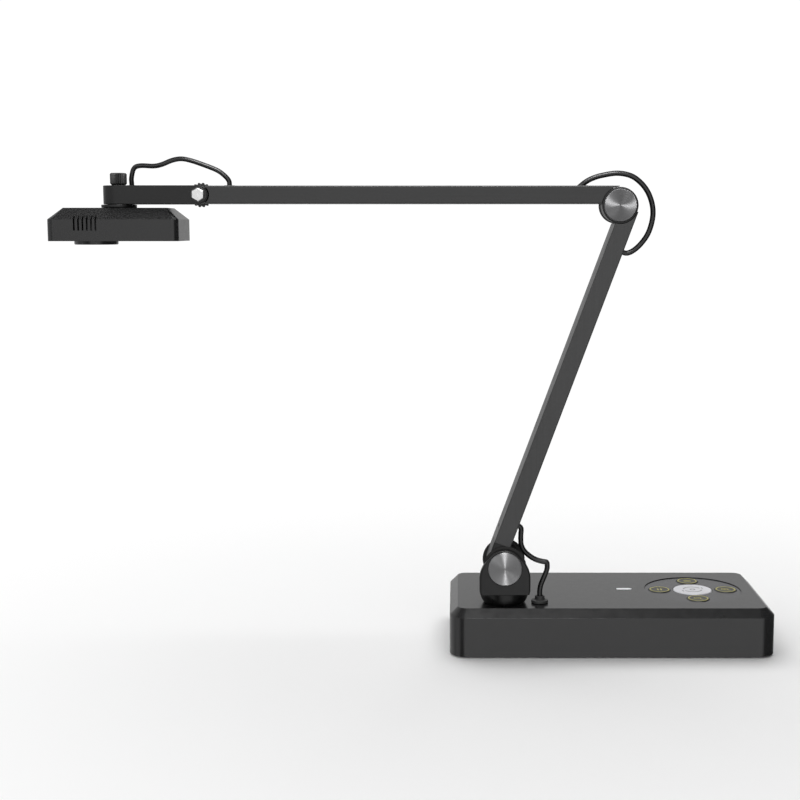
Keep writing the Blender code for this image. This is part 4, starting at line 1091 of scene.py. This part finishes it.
def make_head():
    place = at((HUB.x, ARM_Y, HEAD_FLOOR))
    half_x, half_y = HEAD_SIZE.x / 2, HEAD_SIZE.y / 2
    lens = Vector((middle_of("lens_barrel").x, ARM_Y, HEAD_FLOOR))
    first = lens.x - HUB.x - 2 * MM - (VENT_COUNT - 1) / 2 * VENT_PITCH
    cover = shell(half_x, half_y, 0.15 * MM, HEAD_SIZE.z, HEAD_CORNER, HEAD_RUN, HEAD_RISE, HEAD_WALL)
    build(
        "head_shell", placed(cover, place), HEAD_BLACK, "head", ["head_cover"],
        cuts=[*(vent_slot(first + i * VENT_PITCH) for i in range(VENT_COUNT)),
              placed(rod(AXLE_BORE, 15 * MM, 40 * MM), place)],
        bevel=0.4 * MM,
    )
    rim = HEAD_WALL + GAP
    levels = (0.5 * MM, HEAD_SPLIT)
    tray = loft([rounded_ring(half_x - rim, half_y - rim, HEAD_CORNER - rim, z) for z in levels])
    screws = [(sx * (half_x - 7 * MM), sy * (half_y - 7 * MM)) for sx in (-1, 1) for sy in (-1, 1)]
    wells = [placed(rod(2.2 * MM, -MM, 1.6 * MM), at(place @ Vector((x, y, 0)))) for x, y in screws]
    build(
        "head_bottom", placed(tray, place), HEAD_BLACK, "head", ["head_tray"],
        cuts=[placed(rod(17.3 * MM, -5 * MM, 20 * MM, FINE * 2), at(lens)), *wells], bevel=0.3 * MM,
    )
    for number, (x, y) in enumerate(screws, 1):
        spot = place @ Vector((x, y, 0))
        head = turned([(0, 0.9), (1.9, 0.9), (1.9, 1.9), (0, 1.9)], 0.3, at(spot), COARSE)
        ends = ((-1.2 * MM, -0.22 * MM, -MM), (1.2 * MM, 0.22 * MM, 1.4 * MM))
        cross = [placed(block(*ends), at(spot, (turn, "Z"))) for turn in (20, 110)]
        build(f"head_screw_{number}", head, PLAIN_STEEL, "head", cuts=cross)
    barrel = [
        (16.6, 14), (17, 13.6), (17, -2.2), (16.5, -2.7), (15.2, -2.7), (14.9, -2.2), (14.2, -2.1),
        (13.2, -0.9), (12.6, -0.8), (11.6, 0.6), (11, 0.7), (10.2, 2.3), (9.4, 2.4), (9.4, 14),
    ]
    barrel = turned(barrel, 0.25, at(lens), FINE * 2, 3)
    build("lens_ring", barrel, LENS_BLACK, "head", ["lens_barrel"])
    turns = [math.pi / 28 * i for i in range(14)]
    dome = [(9.1 * MM * math.cos(t), 3.4 * MM - 1.9 * MM * math.sin(t)) for t in turns]
    glass = [(0, 5 * MM), (9.1 * MM, 5 * MM), *dome, (0, 1.5 * MM)]
    build("front_glass", placed(lathe(glass, FINE), at(lens)), LENS_GLASS, "head", ["lens_glass"])
    low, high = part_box("head_flange")
    flange = [(AXLE_BORE, low.z), (13.8 * MM, low.z), (13.8 * MM, high.z), (AXLE_BORE, high.z)]
    flange = placed(lathe(filleted(flange, 0.5 * MM), FINE * 2), at((HUB.x, ARM_Y, 0)))
    build("pan_flange", flange, FORK_BLACK, "head", ["head_flange"])


# --- what stays from the CAD model ---------------------------------------------------------------------


LOOKS = {
    "black_plastic": HEAD_BLACK, "black_metal": FORK_BLACK, "panel_black": PANEL_BLACK,
    "button_silver": KEY_SILVER, "brushed_steel": PLAIN_STEEL, "bright_steel": BRIGHT_STEEL,
    "screw_steel": PLAIN_STEEL, "cast_iron": CAST_IRON, "brass": BRASS, "rubber": RUBBER,
    "cable": CABLE_BLACK, "lens_black": LENS_BLACK, "glass": LENS_GLASS, "status_white": STATUS_WHITE,
    "board": BOARD_GREEN,
}


def dress_cad_nodes():
    """Gives each CAD node that still shows its finish, and a small rounding on its edges."""
    slots = {part["node"]: part["material_slot"] for part in frame["record"]["subparts"]}
    for name, node in frame["nodes"].items():
        if node.hide_render:
            continue
        node.data.materials.clear()
        node.data.materials.append(LOOKS[slots[name]])
        weld = node.modifiers.new("Joined corners", "WELD")
        weld.merge_threshold = 0.00001
        bevel = node.modifiers.new("Rounded edges", "BEVEL")
        bevel.width = 0.2 * MM
        bevel.segments = 2
        bevel.limit_method = "ANGLE"
        bevel.angle_limit = math.radians(40)


# --- stage ---------------------------------------------------------------------------------------------


# The brightness of the room's walls, by the angle in degrees from the front, with the right positive
WALLS = (
    (-165, 0.62), (-96, 0.7), (-86, 0.3), (-78, 0.75), (-52, 0.7), (-42, 0.06), (-24, 0.06), (-16, 1.1),
    (30, 1.1), (46, 0.06), (138, 0.06), (154, 0.62),
)
BEHIND = 0.62
CEILING = (0.1, 0.1, 0.1, 1)
BACKDROP = (1.04, 1.04, 1.04, 1)


def make_floor():
    """A white disc, matt near the object and running into plain white light further out."""
    bpy.ops.mesh.primitive_circle_add(vertices=96, radius=14, fill_type="NGON")
    floor = bpy.context.object
    floor.name = "floor"
    made = Shader("floor", (0.86, 0.86, 0.86), 0.9, Specular_IOR_Level=0.1)
    glow = made.node("ShaderNodeEmission", {"Color": (1, 1, 1, 1), "Strength": 1.02})
    length = made.node("ShaderNodeVectorMath", (), {0: made.coordinates}, operation="LENGTH")
    away = made.ranged(length.outputs["Value"], 0, 1, 0.12, 0.8, interpolation_type="SMOOTHSTEP")
    sources = {"Fac": away, 1: made.surface.outputs["BSDF"], 2: glow.outputs["Emission"]}
    mix = made.node("ShaderNodeMixShader", (), sources)
    made.tree.links.new(mix.outputs["Shader"], made.tree.nodes["Material Output"].inputs["Surface"])
    floor.data.materials.append(made.material)
    floor.visible_glossy = False


def area_light(name, place, target, size, power):
    lamp = bpy.data.lights.new(name, "AREA")
    lamp.shape = "RECTANGLE"
    lamp.size, lamp.size_y = size
    lamp.energy = power
    light = bpy.data.objects.new(name, lamp)
    light.location = place
    light.rotation_euler = (Vector(target) - Vector(place)).to_track_quat("-Z", "Y").to_euler()
    SCENE.collection.objects.link(light)
    return light


def make_studio():
    """A white room with dark flags at its front corners and a dim ceiling, and four soft boxes."""
    world = bpy.data.worlds.new("studio")
    SCENE.world = world
    world.use_nodes = True
    made = Nodes(world.node_tree)
    place = made.node("ShaderNodeTexCoord").outputs["Generated"]
    ways = made.node("ShaderNodeSeparateXYZ", (), {"Vector": place}).outputs
    front = made.node("ShaderNodeMath", {1: -1}, {0: ways["Y"]}, operation="MULTIPLY").outputs["Value"]
    turn = made.node("ShaderNodeMath", (), {0: ways["X"], 1: front}, operation="ARCTAN2").outputs["Value"]
    ends = [(side, (BEHIND, BEHIND, BEHIND, 1)) for side in (0, 1)]
    stops = [(0.5 + degrees / 360, (value, value, value, 1)) for degrees, value in WALLS]
    walls = made.ramp(made.ranged(turn, 0, 1, -math.pi, math.pi), [ends[0], *stops, ends[1]], "EASE")
    up = made.ramp(ways["Z"], ((0.6, (0, 0, 0, 1)), (0.93, (1, 1, 1, 1))), "EASE")
    room = made.node("ShaderNodeMix", {"B": CEILING}, {"Factor": up, "A": walls}, data_type="RGBA")
    camera = made.node("ShaderNodeLightPath").outputs["Is Camera Ray"]
    sources = {"Factor": camera, "A": room.outputs["Result"]}
    seen = made.node("ShaderNodeMix", {"B": BACKDROP}, sources, data_type="RGBA")
    made.tree.links.new(seen.outputs["Result"], made.tree.nodes["Background"].inputs["Color"])
    overhead = area_light("overhead", (-0.15, 0.9, 2.5), (-0.1, 0, 0.1), (3.2, 2.6), 70)
    overhead.visible_glossy = False
    glint = area_light("overhead_glint", (-0.15, 0.9, 2.5), (-0.1, 0, 0.1), (1.3, 1.0), 62)
    glint.visible_diffuse = False
    area_light("front_left", (-1.4, -1.6, 0.9), (-0.1, 0, 0.15), (0.9, 0.9), 5)
    sparkle = area_light("front_top", (-0.1, -1.05, 1.5), (-0.05, -0.05, 0.2), (0.5, 0.5), 22)
    sparkle.visible_diffuse = False
    SCENE.view_settings.view_transform = "Standard"


make_camera()
make_cables()
make_base()
make_keypad()
make_turret()
make_upper_arm()
make_bracket()
make_knob()
make_head()
dress_cad_nodes()
make_floor()
make_studio()
